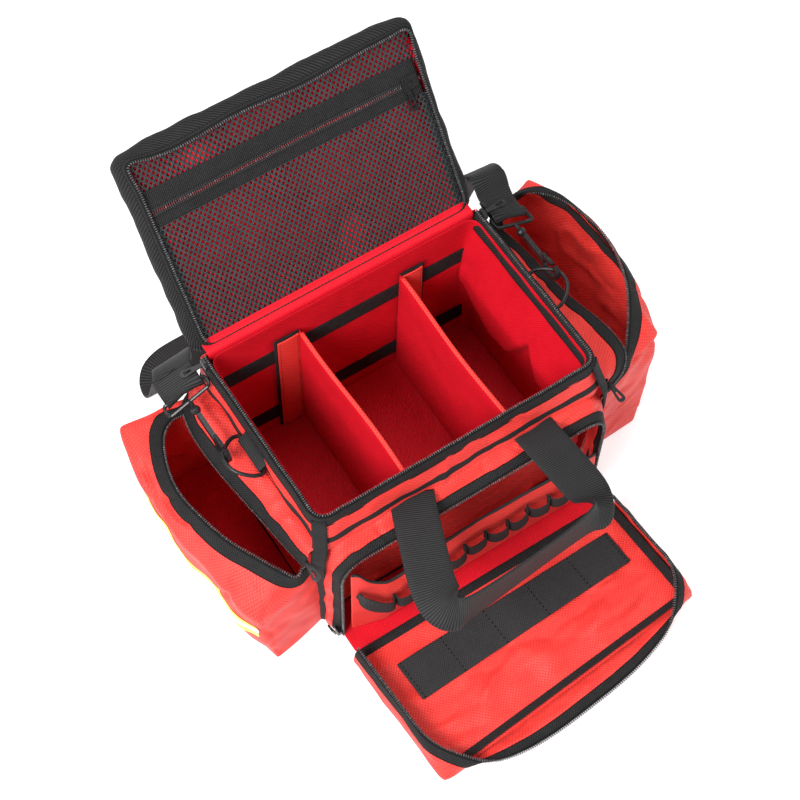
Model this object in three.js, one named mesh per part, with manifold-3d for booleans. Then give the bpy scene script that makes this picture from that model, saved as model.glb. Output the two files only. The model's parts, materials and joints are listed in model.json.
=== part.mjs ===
// A soft trauma bag, standing open on a table: lidded main compartment with two dividers,
// a fold-down front pocket, a gusseted pocket on each side, two carrying handles and a shoulder strap.
//
// Millimetres, +Z up. The origin is the centre of the base, on the surface the bag stands on.
// +X is the bag's right side seen from the front, and -Y is the front.

import * as THREE from 'three';
import { mergeVertices } from 'three/addons/utils/BufferGeometryUtils.js';
import Module from 'manifold-3d';

const wasm = await Module();
wasm.setup();

// ---------------------------------------------------------------- driving dimensions

const GAP = 0.3;                // air left between pieces that touch
const WEBBING = 50;             // width of the handle and strap webbing
const WEBBING_THICK = 2.5;
const CHAIN_BAND = 6;           // width of a zip's chain and tape, as a band
const FABRIC = 3;               // thickness of an unpadded, lined fabric wall

const BODY_HALF_WIDTH = 175;
const BODY_HALF_DEPTH = 116;
const BODY_HEIGHT = 234;
const WALL = 6;                 // padded wall of the main compartment
const BASE = 5;
const BOARD = 3;                // stiffening board on the compartment's floor

const LID_DEPTH = 40;
const LID_OPEN_DEG = 126.8;     // from closed to leaning back
const LID_MESH_LEVEL = 5;       // the mesh panel, above the lid's rim
const LID_ZIP_NEAR = 147;       // the mesh pocket's zip band, measured from the lid's hinge
const LID_ZIP_FAR = 186;

const DIVIDERS = { left: -60, right: 68 };
const DIVIDER_TOP = 198;
const DIVIDER_THICK = 8;
const DIVIDER_TAB = 30;         // hook-backed tab folded along the rear wall
const STRIP_HEIGHT = 27;        // loop strips that the dividers' tabs stick to
const STRIP_LEVELS = { upper: 165, lower: 43 };

const FRONT_HALF_WIDTH = 172;
const FRONT_ZIP_Y = -150;       // where the fixed half of the front pocket ends in its zip
const FRONT_HINGE_Y = -182;     // fold line of the flap, on the floor
const FRONT_TOP = 174;
const FLAP_LENGTH = 168;
const FLAP_WALL = 34;           // height of the flap's tray walls, zip included
const FLAP_FLOOR = 4;

const SIDE_HINGE_X = 250;       // fold line of a side pocket's outer panel
const SIDE_FRONT_Y = -122;
const SIDE_REAR_Y = 114;
const SIDE_HEIGHT = 170;
const SIDE_TOP_GUSSET = 40;
const SIDE_INNER_GUSSET = 24;
const SIDE_FLARE_DEG = { left: 10, right: 15 };
const SIDE_CLOSED_DEG = 3.4;    // how far past upright the outer panel leans when zipped shut

const HANDLE_LEGS = [-65, 85];  // centre of each leg of a handle
const HANDLE_ROOT_Z = 191;
const HANDLE_REACH = 141;

const WIRE = 2.2;               // radius of the ring wire
const TAB_Z = 206;              // height of the D-ring's bar
const D_BAR_X = 181.5;
const D_HALF_LENGTH = 27;
const D_REACH = 35;
const D_TILT_DEG = 16.8;
const HOOK_X = 208;
const HOOK_Y = 17;
const HOOK_Z = 214;
const HOOK_INNER = 10.5;
const HOOK_OUTER = 15;
const HOOK_SHANK = 49;
const RING_SLOPE_DEG = 24;      // how far the strap ring's outer end drops
const RING_NEAR_Y = 85;
const RING_FAR_Y = 99;
const RING_HALF = 28;

const SLIDER = { across: 9, along: 12, thick: 4 };
const PULLER_REST_DEG = 75;
const PULLER = { neck: 4.6, wide: 9, length: 25, thick: 2, slot: 4 };

// ---------------------------------------------------------------- materials

const fabric = (color) => new THREE.MeshStandardMaterial({ color, roughness: 0.75, metalness: 0 });
const shell = fabric(0xe4202c);
const lining = fabric(0xd81c28);
const webbing = fabric(0x1c1c1e);
const binding = fabric(0x202022);
const netting = fabric(0x2a2022);
const board = new THREE.MeshStandardMaterial({ color: 0x2b2b2d, roughness: 0.6, metalness: 0 });
const zip = new THREE.MeshStandardMaterial({ color: 0x18181a, roughness: 0.5, metalness: 0 });
const metal = new THREE.MeshStandardMaterial({ color: 0x2c2c30, roughness: 0.35, metalness: 0.9 });

// ---------------------------------------------------------------- solids

const degrees = THREE.MathUtils.degToRad;

function signedVolume(geometry) {
  const position = geometry.attributes.position;
  const index = geometry.index;
  const [a, b, c] = [new THREE.Vector3(), new THREE.Vector3(), new THREE.Vector3()];
  let volume = 0;
  for (let k = 0; k < index.count; k += 3) {
    a.fromBufferAttribute(position, index.getX(k));
    b.fromBufferAttribute(position, index.getX(k + 1));
    c.fromBufferAttribute(position, index.getX(k + 2));
    volume += a.dot(b.cross(c)) / 6;
  }
  return volume;
}

// Shared vertices merged, and faces turned to point out.
function closed(geometry) {
  geometry.deleteAttribute('normal');
  geometry.deleteAttribute('uv');
  const merged = mergeVertices(geometry, 1e-4);
  if (signedVolume(merged) < 0) {
    const index = merged.index;
    for (let k = 0; k < index.count; k += 3) {
      const first = index.getX(k);
      index.setX(k, index.getX(k + 1));
      index.setX(k + 1, first);
    }
  }
  merged.computeVertexNormals();
  return merged;
}

function piece(name, material, geometry) {
  const mesh = new THREE.Mesh(closed(geometry), material);
  mesh.name = name;
  return mesh;
}

function toManifold(geometry) {
  const merged = closed(geometry);
  return new wasm.Manifold(new wasm.Mesh({
    numProp: 3,
    vertProperties: new Float32Array(merged.attributes.position.array),
    triVerts: new Uint32Array(merged.index.array),
  }));
}

function fromManifold(solid) {
  const { vertProperties, triVerts } = solid.getMesh();
  const geometry = new THREE.BufferGeometry();
  geometry.setAttribute('position', new THREE.BufferAttribute(new Float32Array(vertProperties), 3));
  geometry.setIndex(new THREE.BufferAttribute(new Uint32Array(triVerts), 1));
  return geometry;
}

// A box given by its [low, high] along each axis.
function boxGeometry(x, y, z) {
  const geometry = new THREE.BoxGeometry(x[1] - x[0], y[1] - y[0], z[1] - z[0]);
  return geometry.translate((x[0] + x[1]) / 2, (y[0] + y[1]) / 2, (z[0] + z[1]) / 2);
}

const box = (name, material, x, y, z) => piece(name, material, boxGeometry(x, y, z));

// [low, high] of a span given by its distance from the middle plane, on the side +1 or -1.
const onSide = (side, near, far) => (side > 0 ? [near, far] : [-far, -near]);

function extruded(points, depth, holes = []) {
  const shape = new THREE.Shape(points.map(([u, v]) => new THREE.Vector2(u, v)));
  shape.holes = holes.map((hole) => new THREE.Path(hole.map(([u, v]) => new THREE.Vector2(u, v))));
  return new THREE.ExtrudeGeometry(shape, { depth, bevelEnabled: false });
}

// A U seen flat: two arms from openEnd to closedEnd, with round corners between them.
function uOutline(halfWidth, openEnd, closedEnd, band, radius) {
  const steps = 5;
  const way = Math.sign(closedEnd - openEnd);
  const turn = (inset) => {
    const points = [[-halfWidth + inset, openEnd]];
    const corner = radius - inset;
    for (const side of [-1, 1]) {
      for (let k = 0; k <= steps; k += 1) {
        const angle = (side < 0 ? k : steps - k) / steps * Math.PI / 2;
        const along = closedEnd - way * (inset + corner * (1 - Math.sin(angle)));
        points.push([side * (halfWidth - inset - corner * (1 - Math.cos(angle))), along]);
      }
    }
    points.push([halfWidth - inset, openEnd]);
    return points;
  };
  return [...turn(0), ...turn(band).reverse()];
}

// A bar of round section along a curve, with flat ends.
function rodGeometry(curve, radius, steps) {
  const sides = 8;
  const ring = [];
  for (let k = 0; k < sides; k += 1) {
    const angle = 2 * Math.PI * k / sides;
    ring.push(new THREE.Vector2(radius * Math.cos(angle), radius * Math.sin(angle)));
  }
  return new THREE.ExtrudeGeometry(new THREE.Shape(ring), { extrudePath: curve, steps, bevelEnabled: false });
}

// A flat strap through stations [centre, direction of its width], smoothed between them.
function ribbonGeometry(stations, width, thickness, stepsPerStation = 3) {
  const centres = new THREE.CatmullRomCurve3(stations.map(([at]) => new THREE.Vector3(...at)));
  const acrosses = new THREE.CatmullRomCurve3(stations.map(([, across]) => new THREE.Vector3(...across)));
  const count = (stations.length - 1) * stepsPerStation;
  const vertices = [];
  for (let k = 0; k <= count; k += 1) {
    const centre = centres.getPoint(k / count);
    const tangent = centres.getTangent(k / count);
    const across = acrosses.getPoint(k / count);
    across.addScaledVector(tangent, -across.dot(tangent)).normalize();
    const normal = tangent.clone().cross(across);
    for (const [u, v] of [[-1, -1], [1, -1], [1, 1], [-1, 1]]) {
      const corner = centre.clone().addScaledVector(across, u * width / 2).addScaledVector(normal, v * thickness / 2);
      vertices.push(corner.x, corner.y, corner.z);
    }
  }
  const faces = [0, 1, 2, 0, 2, 3];
  for (let k = 0; k < count; k += 1) {
    for (let side = 0; side < 4; side += 1) {
      const [a, b] = [4 * k + side, 4 * k + (side + 1) % 4];
      faces.push(a, a + 4, b, b, a + 4, b + 4);
    }
  }
  const last = 4 * count;
  faces.push(last, last + 2, last + 1, last, last + 3, last + 2);
  const geometry = new THREE.BufferGeometry();
  geometry.setAttribute('position', new THREE.Float32BufferAttribute(vertices, 3));
  geometry.setIndex(faces);
  return geometry;
}

// A piece whose outline lies in the YZ plane, extruded along X from x0.
function yzPlate(outline, x0, depth) {
  const geometry = extruded(outline, depth);
  const basis = new THREE.Matrix4().makeBasis(
    new THREE.Vector3(0, 1, 0), new THREE.Vector3(0, 0, 1), new THREE.Vector3(1, 0, 0));
  return geometry.applyMatrix4(basis).translate(x0, 0, 0);
}

// A piece whose outline lies in the XZ plane, extruded towards -Y from y1.
function xzPlate(outline, y1, depth) {
  return extruded(outline, depth).rotateX(Math.PI / 2).translate(0, y1, 0);
}

// ---------------------------------------------------------------- main compartment

function mainCompartment() {
  const group = new THREE.Group();
  const top = BODY_HEIGHT - CHAIN_BAND + GAP;
  const innerY = BODY_HALF_DEPTH - WALL;
  const innerX = BODY_HALF_WIDTH - WALL;
  const fullX = [-BODY_HALF_WIDTH, BODY_HALF_WIDTH];
  const wallZ = [BASE + GAP, top - GAP];
  group.add(box('base_panel', shell, fullX, [-BODY_HALF_DEPTH, BODY_HALF_DEPTH], [0, BASE]));
  group.add(box('base_board', board, [-innerX + 3, innerX - 3], [-innerY + 3, innerY - 3],
    [BASE + GAP, BASE + GAP + BOARD]));
  group.add(box('front_wall', shell, fullX, [-BODY_HALF_DEPTH, -innerY], wallZ));
  group.add(box('rear_wall', shell, fullX, [innerY, BODY_HALF_DEPTH], [BASE + GAP, BODY_HEIGHT - GAP]));
  const sideY = [-innerY + GAP, innerY - GAP];
  group.add(box('left_wall', shell, onSide(-1, innerX, BODY_HALF_WIDTH), sideY, wallZ));
  group.add(box('right_wall', shell, onSide(1, innerX, BODY_HALF_WIDTH), sideY, wallZ));

  const rim = uOutline(BODY_HALF_WIDTH, innerY - GAP, -BODY_HALF_DEPTH, CHAIN_BAND, 14);
  group.add(piece('rim_zip_track', zip, extruded(rim, CHAIN_BAND - GAP).translate(0, 0, top)));

  for (const [level, middle] of Object.entries(STRIP_LEVELS)) {
    group.add(box(`rear_loop_strip_${level}`, binding, [-innerX + 6, innerX - 6],
      [innerY - GAP - 1.5, innerY - GAP], [middle - STRIP_HEIGHT / 2, middle + STRIP_HEIGHT / 2]));
  }
  return group;
}

// A padded board across the compartment, with a tab folded along the rear wall at its rear end.
function divider(name, x, tabSide) {
  const rear = BODY_HALF_DEPTH - WALL - 2.4;
  const half = DIVIDER_THICK / 2;
  const tab = tabSide * (half + DIVIDER_TAB);
  const outline = [[-half, -rear], [half, -rear], [half, rear], [-half, rear]];
  if (tabSide < 0) {
    outline.splice(3, 1, [tab, rear], [tab, rear - FABRIC], [-half, rear - FABRIC]);
  } else {
    outline.splice(2, 1, [half, rear - FABRIC], [tab, rear - FABRIC], [tab, rear]);
  }
  const bottom = BASE + BOARD + 2 * GAP;
  return piece(name, lining, extruded(outline, DIVIDER_TOP - bottom).translate(x, 0, bottom));
}

// ---------------------------------------------------------------- lid

// Built shut, on its hinge line along the rear rim, and then leaned back.
function lid() {
  const group = new THREE.Group();
  group.position.set(0, BODY_HALF_DEPTH, BODY_HEIGHT);
  group.rotation.x = -degrees(LID_OPEN_DEG);
  const length = 2 * BODY_HALF_DEPTH;
  const inside = BODY_HALF_WIDTH - 4.5;
  const roof = LID_DEPTH - WALL;
  const meshZ = [LID_MESH_LEVEL, LID_MESH_LEVEL + 2];
  group.add(box('lid_panel', shell, [-BODY_HALF_WIDTH, BODY_HALF_WIDTH], [-length, 0], [roof, LID_DEPTH]));

  // The band round all four sides of the lid, a frame cut from a block.
  const outer = toManifold(boxGeometry([-BODY_HALF_WIDTH, BODY_HALF_WIDTH], [-length, -GAP], [4, roof - GAP]));
  const inner = toManifold(boxGeometry([-inside + 0.5, inside - 0.5], [-length + 4, -GAP - 4], [0, roof + 1]));
  group.add(piece('lid_gusset', binding, fromManifold(outer.subtract(inner))));

  const track = uOutline(BODY_HALF_WIDTH, -6, -length, CHAIN_BAND, 14);
  group.add(piece('lid_zip_track', zip, extruded(track, 3.4).translate(0, 0, GAP)));
  group.add(box('lid_liner', lining, [-inside + 1, inside - 1], [-length + 5, -5], [12, 12 + FABRIC]));
  group.add(box('lid_mesh_lower', netting, [-inside + 1, inside - 1], [-LID_ZIP_NEAR + GAP, -6], meshZ));
  group.add(box('lid_pocket_zip', zip, [-inside + 1, inside - 1], [-LID_ZIP_FAR, -LID_ZIP_NEAR], meshZ));
  group.add(box('lid_mesh_upper', netting, [-inside + 1, inside - 1], [-length + 7, -LID_ZIP_FAR - GAP], meshZ));

  const zipLine = -LID_ZIP_NEAR - 17;
  const slider = zipSlider('lid_pocket_slider');
  slider.rotation.set(Math.PI, 0, Math.PI / 2);
  slider.position.set(146, zipLine, LID_MESH_LEVEL - GAP);
  group.add(slider);
  const puller = zipPuller('lid_pocket_puller');
  puller.position.set(146, zipLine + SLIDER.across / 2 + 2.5, LID_MESH_LEVEL - 2.5);
  group.add(puller);
  return group;
}

// ---------------------------------------------------------------- zip sliders

// A slider lying on the plane z = 0, running along Y.
function zipSlider(name) {
  const [across, along] = [SLIDER.across / 2, SLIDER.along / 2];
  const outline = [[-across, along], [-across, -along * 0.2], [-across * 0.5, -along],
    [across * 0.5, -along], [across, -along * 0.2], [across, along]];
  return piece(name, metal, extruded(outline, SLIDER.thick));
}

// A puller whose pivot is at the origin, pointing along +Y, its thickness centred on z = 0: a tapered plate with a
// round end and a slot.
function zipPuller(name) {
  const [neck, wide, slot] = [PULLER.neck / 2, PULLER.wide / 2, PULLER.slot / 2];
  const roundFrom = PULLER.length - wide;
  const steps = 6;
  const end = [];
  for (let k = 0; k <= steps; k += 1) {
    const angle = Math.PI * k / steps;
    end.push([wide * Math.cos(angle), roundFrom + wide * Math.sin(angle)]);
  }
  const outline = [[-neck, -1.2], [neck, -1.2], [neck, 3], ...end, [-neck, 3]];
  const window = [[-slot, roundFrom], [slot, roundFrom], [slot * 0.7, roundFrom - 9], [-slot * 0.7, roundFrom - 9]];
  const plate = extruded(outline, PULLER.thick, [window]);
  return piece(name, metal, plate.translate(0, 0, -PULLER.thick / 2));
}

// A slider on the outside of a vertical face at x = side * faceX. Its puller points outwards, or stands nearly
// upright against the face where the zip itself is upright.
function sideFacingSlider(name, side, faceX, y, z, upright) {
  const group = new THREE.Group();
  const slider = zipSlider(`${name}_slider`);
  slider.rotation.set(0, side * Math.PI / 2, 0);
  if (upright) {
    slider.rotation.set(-side * Math.PI / 2, side * Math.PI / 2, 0);
  }
  slider.position.set(side * faceX, y, z);
  group.add(slider);
  const puller = zipPuller(`${name}_puller`);
  puller.rotation.set(0, upright ? -side * degrees(PULLER_REST_DEG) : 0, -side * Math.PI / 2);
  puller.position.set(side * (faceX + SLIDER.thick + 2.5), y, z + 3);
  group.add(puller);
  return group;
}

// ---------------------------------------------------------------- front pocket

function frontPocket() {
  const group = new THREE.Group();
  const back = -BODY_HALF_DEPTH - GAP;
  const width = [-FRONT_HALF_WIDTH, FRONT_HALF_WIDTH];
  const zipBack = FRONT_ZIP_Y + 3;
  group.add(box('front_pocket_floor', shell, width, [FRONT_HINGE_Y + GAP, back], [0, FABRIC]));

  const wall = uOutline(FRONT_HALF_WIDTH, FABRIC + GAP, FRONT_TOP, FABRIC, 16);
  group.add(piece('front_pocket_gusset', shell, xzPlate(wall, back, back - zipBack - GAP)));
  const track = uOutline(FRONT_HALF_WIDTH, FABRIC + GAP, FRONT_TOP, CHAIN_BAND, 16);
  group.add(piece('front_pocket_zip_track', zip, xzPlate(track, zipBack, zipBack - FRONT_ZIP_Y)));

  // Organiser panel: a leaning sheet whose top edge dips from left to right.
  const bottom = FABRIC + 2;
  const crest = new THREE.CatmullRomCurve3([[160, 96], [110, 104], [50, 92], [-20, 108], [-90, 118], [-146, 136]]
    .map(([x, z]) => new THREE.Vector3(x, z, 0)));
  const edge = crest.getPoints(14).map((point) => [point.x, point.y]);
  const panel = [[-150, bottom], [160, bottom], ...edge, [-150, 130]];
  const organiser = piece('organiser_panel', lining, xzPlate(panel, 0, 2));
  organiser.position.set(0, -166, 0);
  organiser.rotation.x = -degrees(5);
  group.add(organiser);

  // Elastic sewn down between loops: a band standing on edge that waves in and out.
  const waves = [];
  for (let k = 0; k <= 12; k += 1) {
    waves.push([[-138 + 24 * k, -174 + (k % 2 ? -3 : 3), 45], [0, 0, 1]]);
  }
  group.add(piece('organiser_elastic_loops', webbing, ribbonGeometry(waves, 24, 1.5)));

  group.add(sideFacingSlider('front_pocket', -1, FRONT_HALF_WIDTH + GAP, FRONT_ZIP_Y + 1.5, 13, true));
  return group;
}

// Flap of the front pocket, lying open in front of its fold line as a shallow tray.
function frontFlap() {
  const group = new THREE.Group();
  const near = FRONT_HINGE_Y - GAP;
  const far = FRONT_HINGE_Y - FLAP_LENGTH;
  const rim = FLAP_WALL - 3;
  group.add(box('flap_panel', shell, [-FRONT_HALF_WIDTH, FRONT_HALF_WIDTH], [far, near], [0, FLAP_FLOOR]));
  const wall = uOutline(FRONT_HALF_WIDTH, near - 3, far, FABRIC, 16);
  const floor = FLAP_FLOOR + GAP;
  group.add(piece('flap_gusset', shell, extruded(wall, rim - GAP - floor).translate(0, 0, floor)));
  const track = uOutline(FRONT_HALF_WIDTH, near - 3, far, CHAIN_BAND, 16);
  group.add(piece('flap_zip_track', zip, extruded(track, 3).translate(0, 0, rim)));
  group.add(box('flap_elastic_strip', webbing, [-142, 146], [-265, -214], [floor, floor + 1.5]));
  return group;
}

// ---------------------------------------------------------------- side pockets

function sidePocket(name, side) {
  const group = new THREE.Group();
  const near = BODY_HALF_WIDTH + GAP;
  const depthOf = SIDE_HINGE_X - near - 3.5;

  // One strip of fabric makes the floor and both ends; its ends narrow upwards.
  const top = SIDE_HEIGHT - 4;
  const [front, rear] = [SIDE_FRONT_Y, SIDE_REAR_Y];
  const strip = [[front, 0], [rear, 0], [rear, top], [rear - FABRIC, top], [rear - FABRIC, FABRIC],
    [front + FABRIC, FABRIC], [front + FABRIC, top], [front, top]];
  const x0 = side > 0 ? near : -near - depthOf;
  const wedge = new THREE.BoxGeometry(40, 400, 400).translate(20, 0, 200).rotateY(-degrees(SIDE_CLOSED_DEG));
  if (side < 0) {
    wedge.rotateZ(Math.PI);
  }
  wedge.translate(side * (SIDE_HINGE_X - 3.8), 0, FABRIC);
  const narrowed = toManifold(yzPlate(strip, x0, depthOf)).subtract(toManifold(wedge));
  group.add(piece(`${name}_pocket_gusset`, shell, fromManifold(narrowed)));

  const lipTop = SIDE_HEIGHT + 1;
  group.add(box(`${name}_pocket_inner_lip`, zip, onSide(side, near, near + SIDE_INNER_GUSSET),
    [front + FABRIC + GAP, rear - FABRIC - GAP], [lipTop - FABRIC, lipTop]));

  const slider = zipSlider(`${name}_pocket_slider`);
  const sliderX = side * (near + SIDE_INNER_GUSSET - SLIDER.across / 2 - 1);
  const sliderY = front + 10;
  slider.position.set(sliderX, sliderY, lipTop + GAP);
  group.add(slider);
  const puller = zipPuller(`${name}_pocket_puller`);
  puller.rotation.z = Math.PI;
  puller.position.set(sliderX, sliderY - SLIDER.along / 2 - 3, lipTop + 2.5);
  group.add(puller);

  // Outer panel and the strip along its top edge, flared out about the fold line at the floor.
  const outer = new THREE.Group();
  outer.position.set(side * SIDE_HINGE_X, 0, FABRIC);
  outer.rotation.y = side * degrees(SIDE_FLARE_DEG[name]);
  outer.add(box(`${name}_pocket_outer_panel`, shell, onSide(side, -FABRIC, 0), [front, rear], [0.5, SIDE_HEIGHT]));
  outer.add(box(`${name}_pocket_top_strip`, zip, onSide(side, -SIDE_TOP_GUSSET, 0), [front, rear],
    [SIDE_HEIGHT + GAP, SIDE_HEIGHT + GAP + FABRIC]));
  group.add(outer);
  return group;
}

// ---------------------------------------------------------------- strap hardware on each side

function strapHardware(name, side) {
  const group = new THREE.Group();

  // Webbing tab: a patch on the wall and a loop round the D-ring's bar.
  const half = 22;
  const patch = toManifold(boxGeometry(onSide(side, BODY_HALF_WIDTH + GAP, BODY_HALF_WIDTH + 3), [-half, half],
    [TAB_Z - 8, TAB_Z + 18]));
  const lay = new THREE.Matrix4().makeBasis(
    new THREE.Vector3(1, 0, 0), new THREE.Vector3(0, 0, -1), new THREE.Vector3(0, 1, 0));
  const cylinder = (radius, length) => extruded(circle(radius), length)
    .translate(0, 0, -length / 2).applyMatrix4(lay).translate(side * D_BAR_X, 0, TAB_Z);
  const sleeve = toManifold(cylinder(WIRE + 3.2, 2 * half));
  const bore = toManifold(cylinder(WIRE + 0.8, 2 * half + 2));
  group.add(piece(`${name}_ring_tab`, webbing, fromManifold(patch.add(sleeve).subtract(bore))));

  group.add(dRing(`${name}_d_ring`, side));
  group.add(snapHook(`${name}_snap_hook`, side));
  group.add(hookGate(`${name}_hook_gate`, side));
  group.add(strapRing(`${name}_strap_ring`, side));
  return group;
}

function circle(radius) {
  const sides = 12;
  const points = [];
  for (let k = 0; k < sides; k += 1) {
    const angle = 2 * Math.PI * k / sides;
    points.push([radius * Math.cos(angle), radius * Math.sin(angle)]);
  }
  return points;
}

// Bent wire with a butt joint in the middle of its bar, tilted up about the bar.
function dRing(name, side) {
  const points = [[0, GAP], [0, D_HALF_LENGTH - 3]];
  const steps = 12;
  for (let k = 0; k <= steps; k += 1) {
    const angle = Math.PI * k / steps;
    points.push([3 + (D_REACH - 3) * Math.sin(angle), D_HALF_LENGTH * Math.cos(angle)]);
  }
  points.push([0, -D_HALF_LENGTH + 3], [0, -GAP]);
  const curve = new THREE.CatmullRomCurve3(points.map(([out, y]) => new THREE.Vector3(side * out, y, 0)), false,
    'catmullrom', 0.3);
  const mesh = piece(name, metal, rodGeometry(curve, WIRE, 40));
  mesh.position.set(side * D_BAR_X, 0, TAB_Z);
  mesh.rotation.y = -side * degrees(D_TILT_DEG);
  return mesh;
}

// C-shaped hook on a shank, a plate in the YZ plane; its mouth is on top, towards the shank.
function snapHook(name, side) {
  const arc = (radius, from, to) => {
    const steps = 14;
    const points = [];
    for (let k = 0; k <= steps; k += 1) {
      const angle = degrees(from + (to - from) * k / steps);
      points.push([HOOK_Y + radius * Math.cos(angle), HOOK_Z + radius * Math.sin(angle)]);
    }
    return points;
  };
  const shank = [[HOOK_Y + HOOK_SHANK, HOOK_Z - 4], [HOOK_Y + HOOK_SHANK, HOOK_Z + 4]];
  const outline = [...arc(HOOK_OUTER, 120, 342), ...shank, [HOOK_Y + HOOK_OUTER - 1, HOOK_Z + 4],
    ...arc(HOOK_INNER, 378, 120)];
  return piece(name, metal, yzPlate(outline, side * HOOK_X - 2.5, 5));
}

// Sprung gate from a pivot above the shank to the hook's nose.
function hookGate(name, side) {
  const outline = [[1.5, -1.5], [1.5, 1.5], [-16.8, 4.2], [-17.2, 1.2]];
  const gate = piece(name, metal, yzPlate(outline, -2, 4));
  gate.position.set(side * HOOK_X, HOOK_Y + 14, HOOK_Z + 8);
  return gate;
}

// Rectangular wire ring for the strap, with the swivel post and ball that join it to the hook.
function strapRing(name, side) {
  const middle = (RING_NEAR_Y + RING_FAR_Y) / 2;
  const halfY = (RING_FAR_Y - RING_NEAR_Y) / 2;
  const [long, short] = [RING_HALF, halfY];
  const outline = [[GAP, short], [long - 3, short], [long, short - 3], [long, -short + 3], [long - 3, -short],
    [-long + 3, -short], [-long, -short + 3], [-long, short - 3], [-long + 3, short], [-GAP, short]];
  const curve = new THREE.CatmullRomCurve3(outline.map(([u, v]) => new THREE.Vector3(u, v, 0)), false,
    'catmullrom', 0.1);
  const ring = rodGeometry(curve, WIRE, 48).rotateY(side * degrees(RING_SLOPE_DEG))
    .translate(side * HOOK_X, middle, HOOK_Z);
  const postLength = RING_NEAR_Y - (HOOK_Y + HOOK_SHANK) - 5;
  const post = new THREE.CylinderGeometry(2.5, 2.5, postLength, 8)
    .translate(side * HOOK_X, RING_NEAR_Y - postLength / 2, HOOK_Z);
  const ball = new THREE.SphereGeometry(5.5, 10, 6).translate(side * HOOK_X, HOOK_Y + HOOK_SHANK + 6.5, HOOK_Z);
  const solid = toManifold(ring).add(toManifold(post)).add(toManifold(ball));
  return piece(name, metal, fromManifold(solid));
}

// ---------------------------------------------------------------- webbing

// Shoulder strap: over the left rear corner, down, along the table behind the bag, up and over to the right ring.
function shoulderStrap() {
  const slope = degrees(RING_SLOPE_DEG);
  const leftRing = [Math.cos(slope), 0, Math.sin(slope)];
  const rightRing = [Math.cos(slope), 0, -Math.sin(slope)];
  const start = RING_FAR_Y + WIRE + 3.5;
  const stations = [
    [[-208, start, 214], leftRing],
    [[-207, 122, 216], leftRing],
    [[-202, 150, 196], [1, 0, 0.2]],
    [[-196, 176, 130], [1, 0, 0]],
    [[-193, 201, 62], [1, 0, 0]],
    [[-191, 216, 22], [1, 0, 0]],
    [[-190, 228, 6], [1, -0.1, 0]],
    [[-184, 241, 2.4], [0.93, -0.37, 0]],
    [[-168, 251, 2.4], [0.6, -0.8, 0]],
    [[-140, 255, 2.4], [0.1, -1, 0]],
    [[-50, 254, 2.4], [0, -1, 0]],
    [[50, 254, 2.4], [0, -1, 0]],
    [[142, 255, 2.4], [-0.1, -1, 0]],
    [[170, 251, 2.4], [-0.6, -0.8, 0]],
    [[187, 241, 2.4], [-0.93, -0.37, 0]],
    [[192, 228, 6], [-1, -0.1, 0]],
    [[194, 216, 24], [-1, 0, 0]],
    [[198, 202, 80], [-1, 0, 0]],
    [[202, 188, 140], [-1, 0, 0]],
    [[206, 168, 214], [-1, 0, 0.1]],
    [[207, 144, 240], [-1, 0, 0.3]],
    [[208, 124, 223], [-rightRing[0], 0, -rightRing[2]]],
    [[208, start + 2, 216], [-rightRing[0], 0, -rightRing[2]]],
  ];
  return piece('shoulder_strap', webbing, ribbonGeometry(stations, WEBBING - 2, WEBBING_THICK));
}

// A carrying handle held out flat from the line y = z = 0: two flat legs, and a grip standing on edge.
function handle(name, lean, lift) {
  const [left, right] = HANDLE_LEGS;
  const width = WEBBING - 2;
  const reach = HANDLE_REACH;
  const stations = [
    [[left, 0, 0], [1, 0, 0]],
    [[left + lean * 0.45, -0.35 * reach, lift * 0.3], [1, 0, 0]],
    [[left + lean * 0.9, -0.68 * reach, lift * 0.6], [1, 0.1, 0.1]],
    [[left + lean + 8, -0.93 * reach, lift * 0.9], [0.55, 0.5, 0.6]],
    [[left + lean + 40, -reach, lift], [0, 0.1, 1]],
    [[(left + right) / 2, -reach, lift], [0, 0, 1]],
    [[right - 34, -reach, lift], [0, 0.1, 1]],
    [[right - 4, -0.93 * reach, lift * 0.9], [-0.55, 0.5, 0.6]],
    [[right, -0.68 * reach, lift * 0.6], [-1, 0.1, 0.1]],
    [[right, -0.35 * reach, lift * 0.3], [-1, 0, 0]],
    [[right, 0, 0], [-1, 0, 0]],
  ];
  return piece(name, webbing, ribbonGeometry(stations, width, WEBBING_THICK));
}

// ---------------------------------------------------------------- assembly

const bag = new THREE.Group();
bag.add(mainCompartment());
bag.add(divider('divider_left', DIVIDERS.left, -1));
bag.add(divider('divider_right', DIVIDERS.right, 1));
bag.add(lid());
bag.add(frontPocket());
bag.add(frontFlap());
for (const [name, side] of [['left', -1], ['right', 1]]) {
  bag.add(sidePocket(name, side));
  bag.add(strapHardware(name, side));
  bag.add(sideFacingSlider(`main_${name}`, side, BODY_HALF_WIDTH + GAP, 104, BODY_HEIGHT, false));
}
bag.add(shoulderStrap());

const frontHandle = handle('front_handle', -20, 14);
frontHandle.position.set(0, -BODY_HALF_DEPTH - 5, HANDLE_ROOT_Z);
bag.add(frontHandle);
const rearHandle = handle('rear_handle', 0, 26);
rearHandle.rotation.set(-Math.PI / 2, 0, Math.PI);
rearHandle.position.set(0, BODY_HALF_DEPTH + 3.5, HANDLE_ROOT_Z);
bag.add(rearHandle);

export default bag;
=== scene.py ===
"""Looks of a soft trauma bag: fabric, webbing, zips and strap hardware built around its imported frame.

Shapes are worked out in millimetres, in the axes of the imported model, and become metres when a mesh is made.
"""

import json
import math

import bmesh
import bpy
import numpy as np
from mathutils import Matrix, Vector, noise


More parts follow.
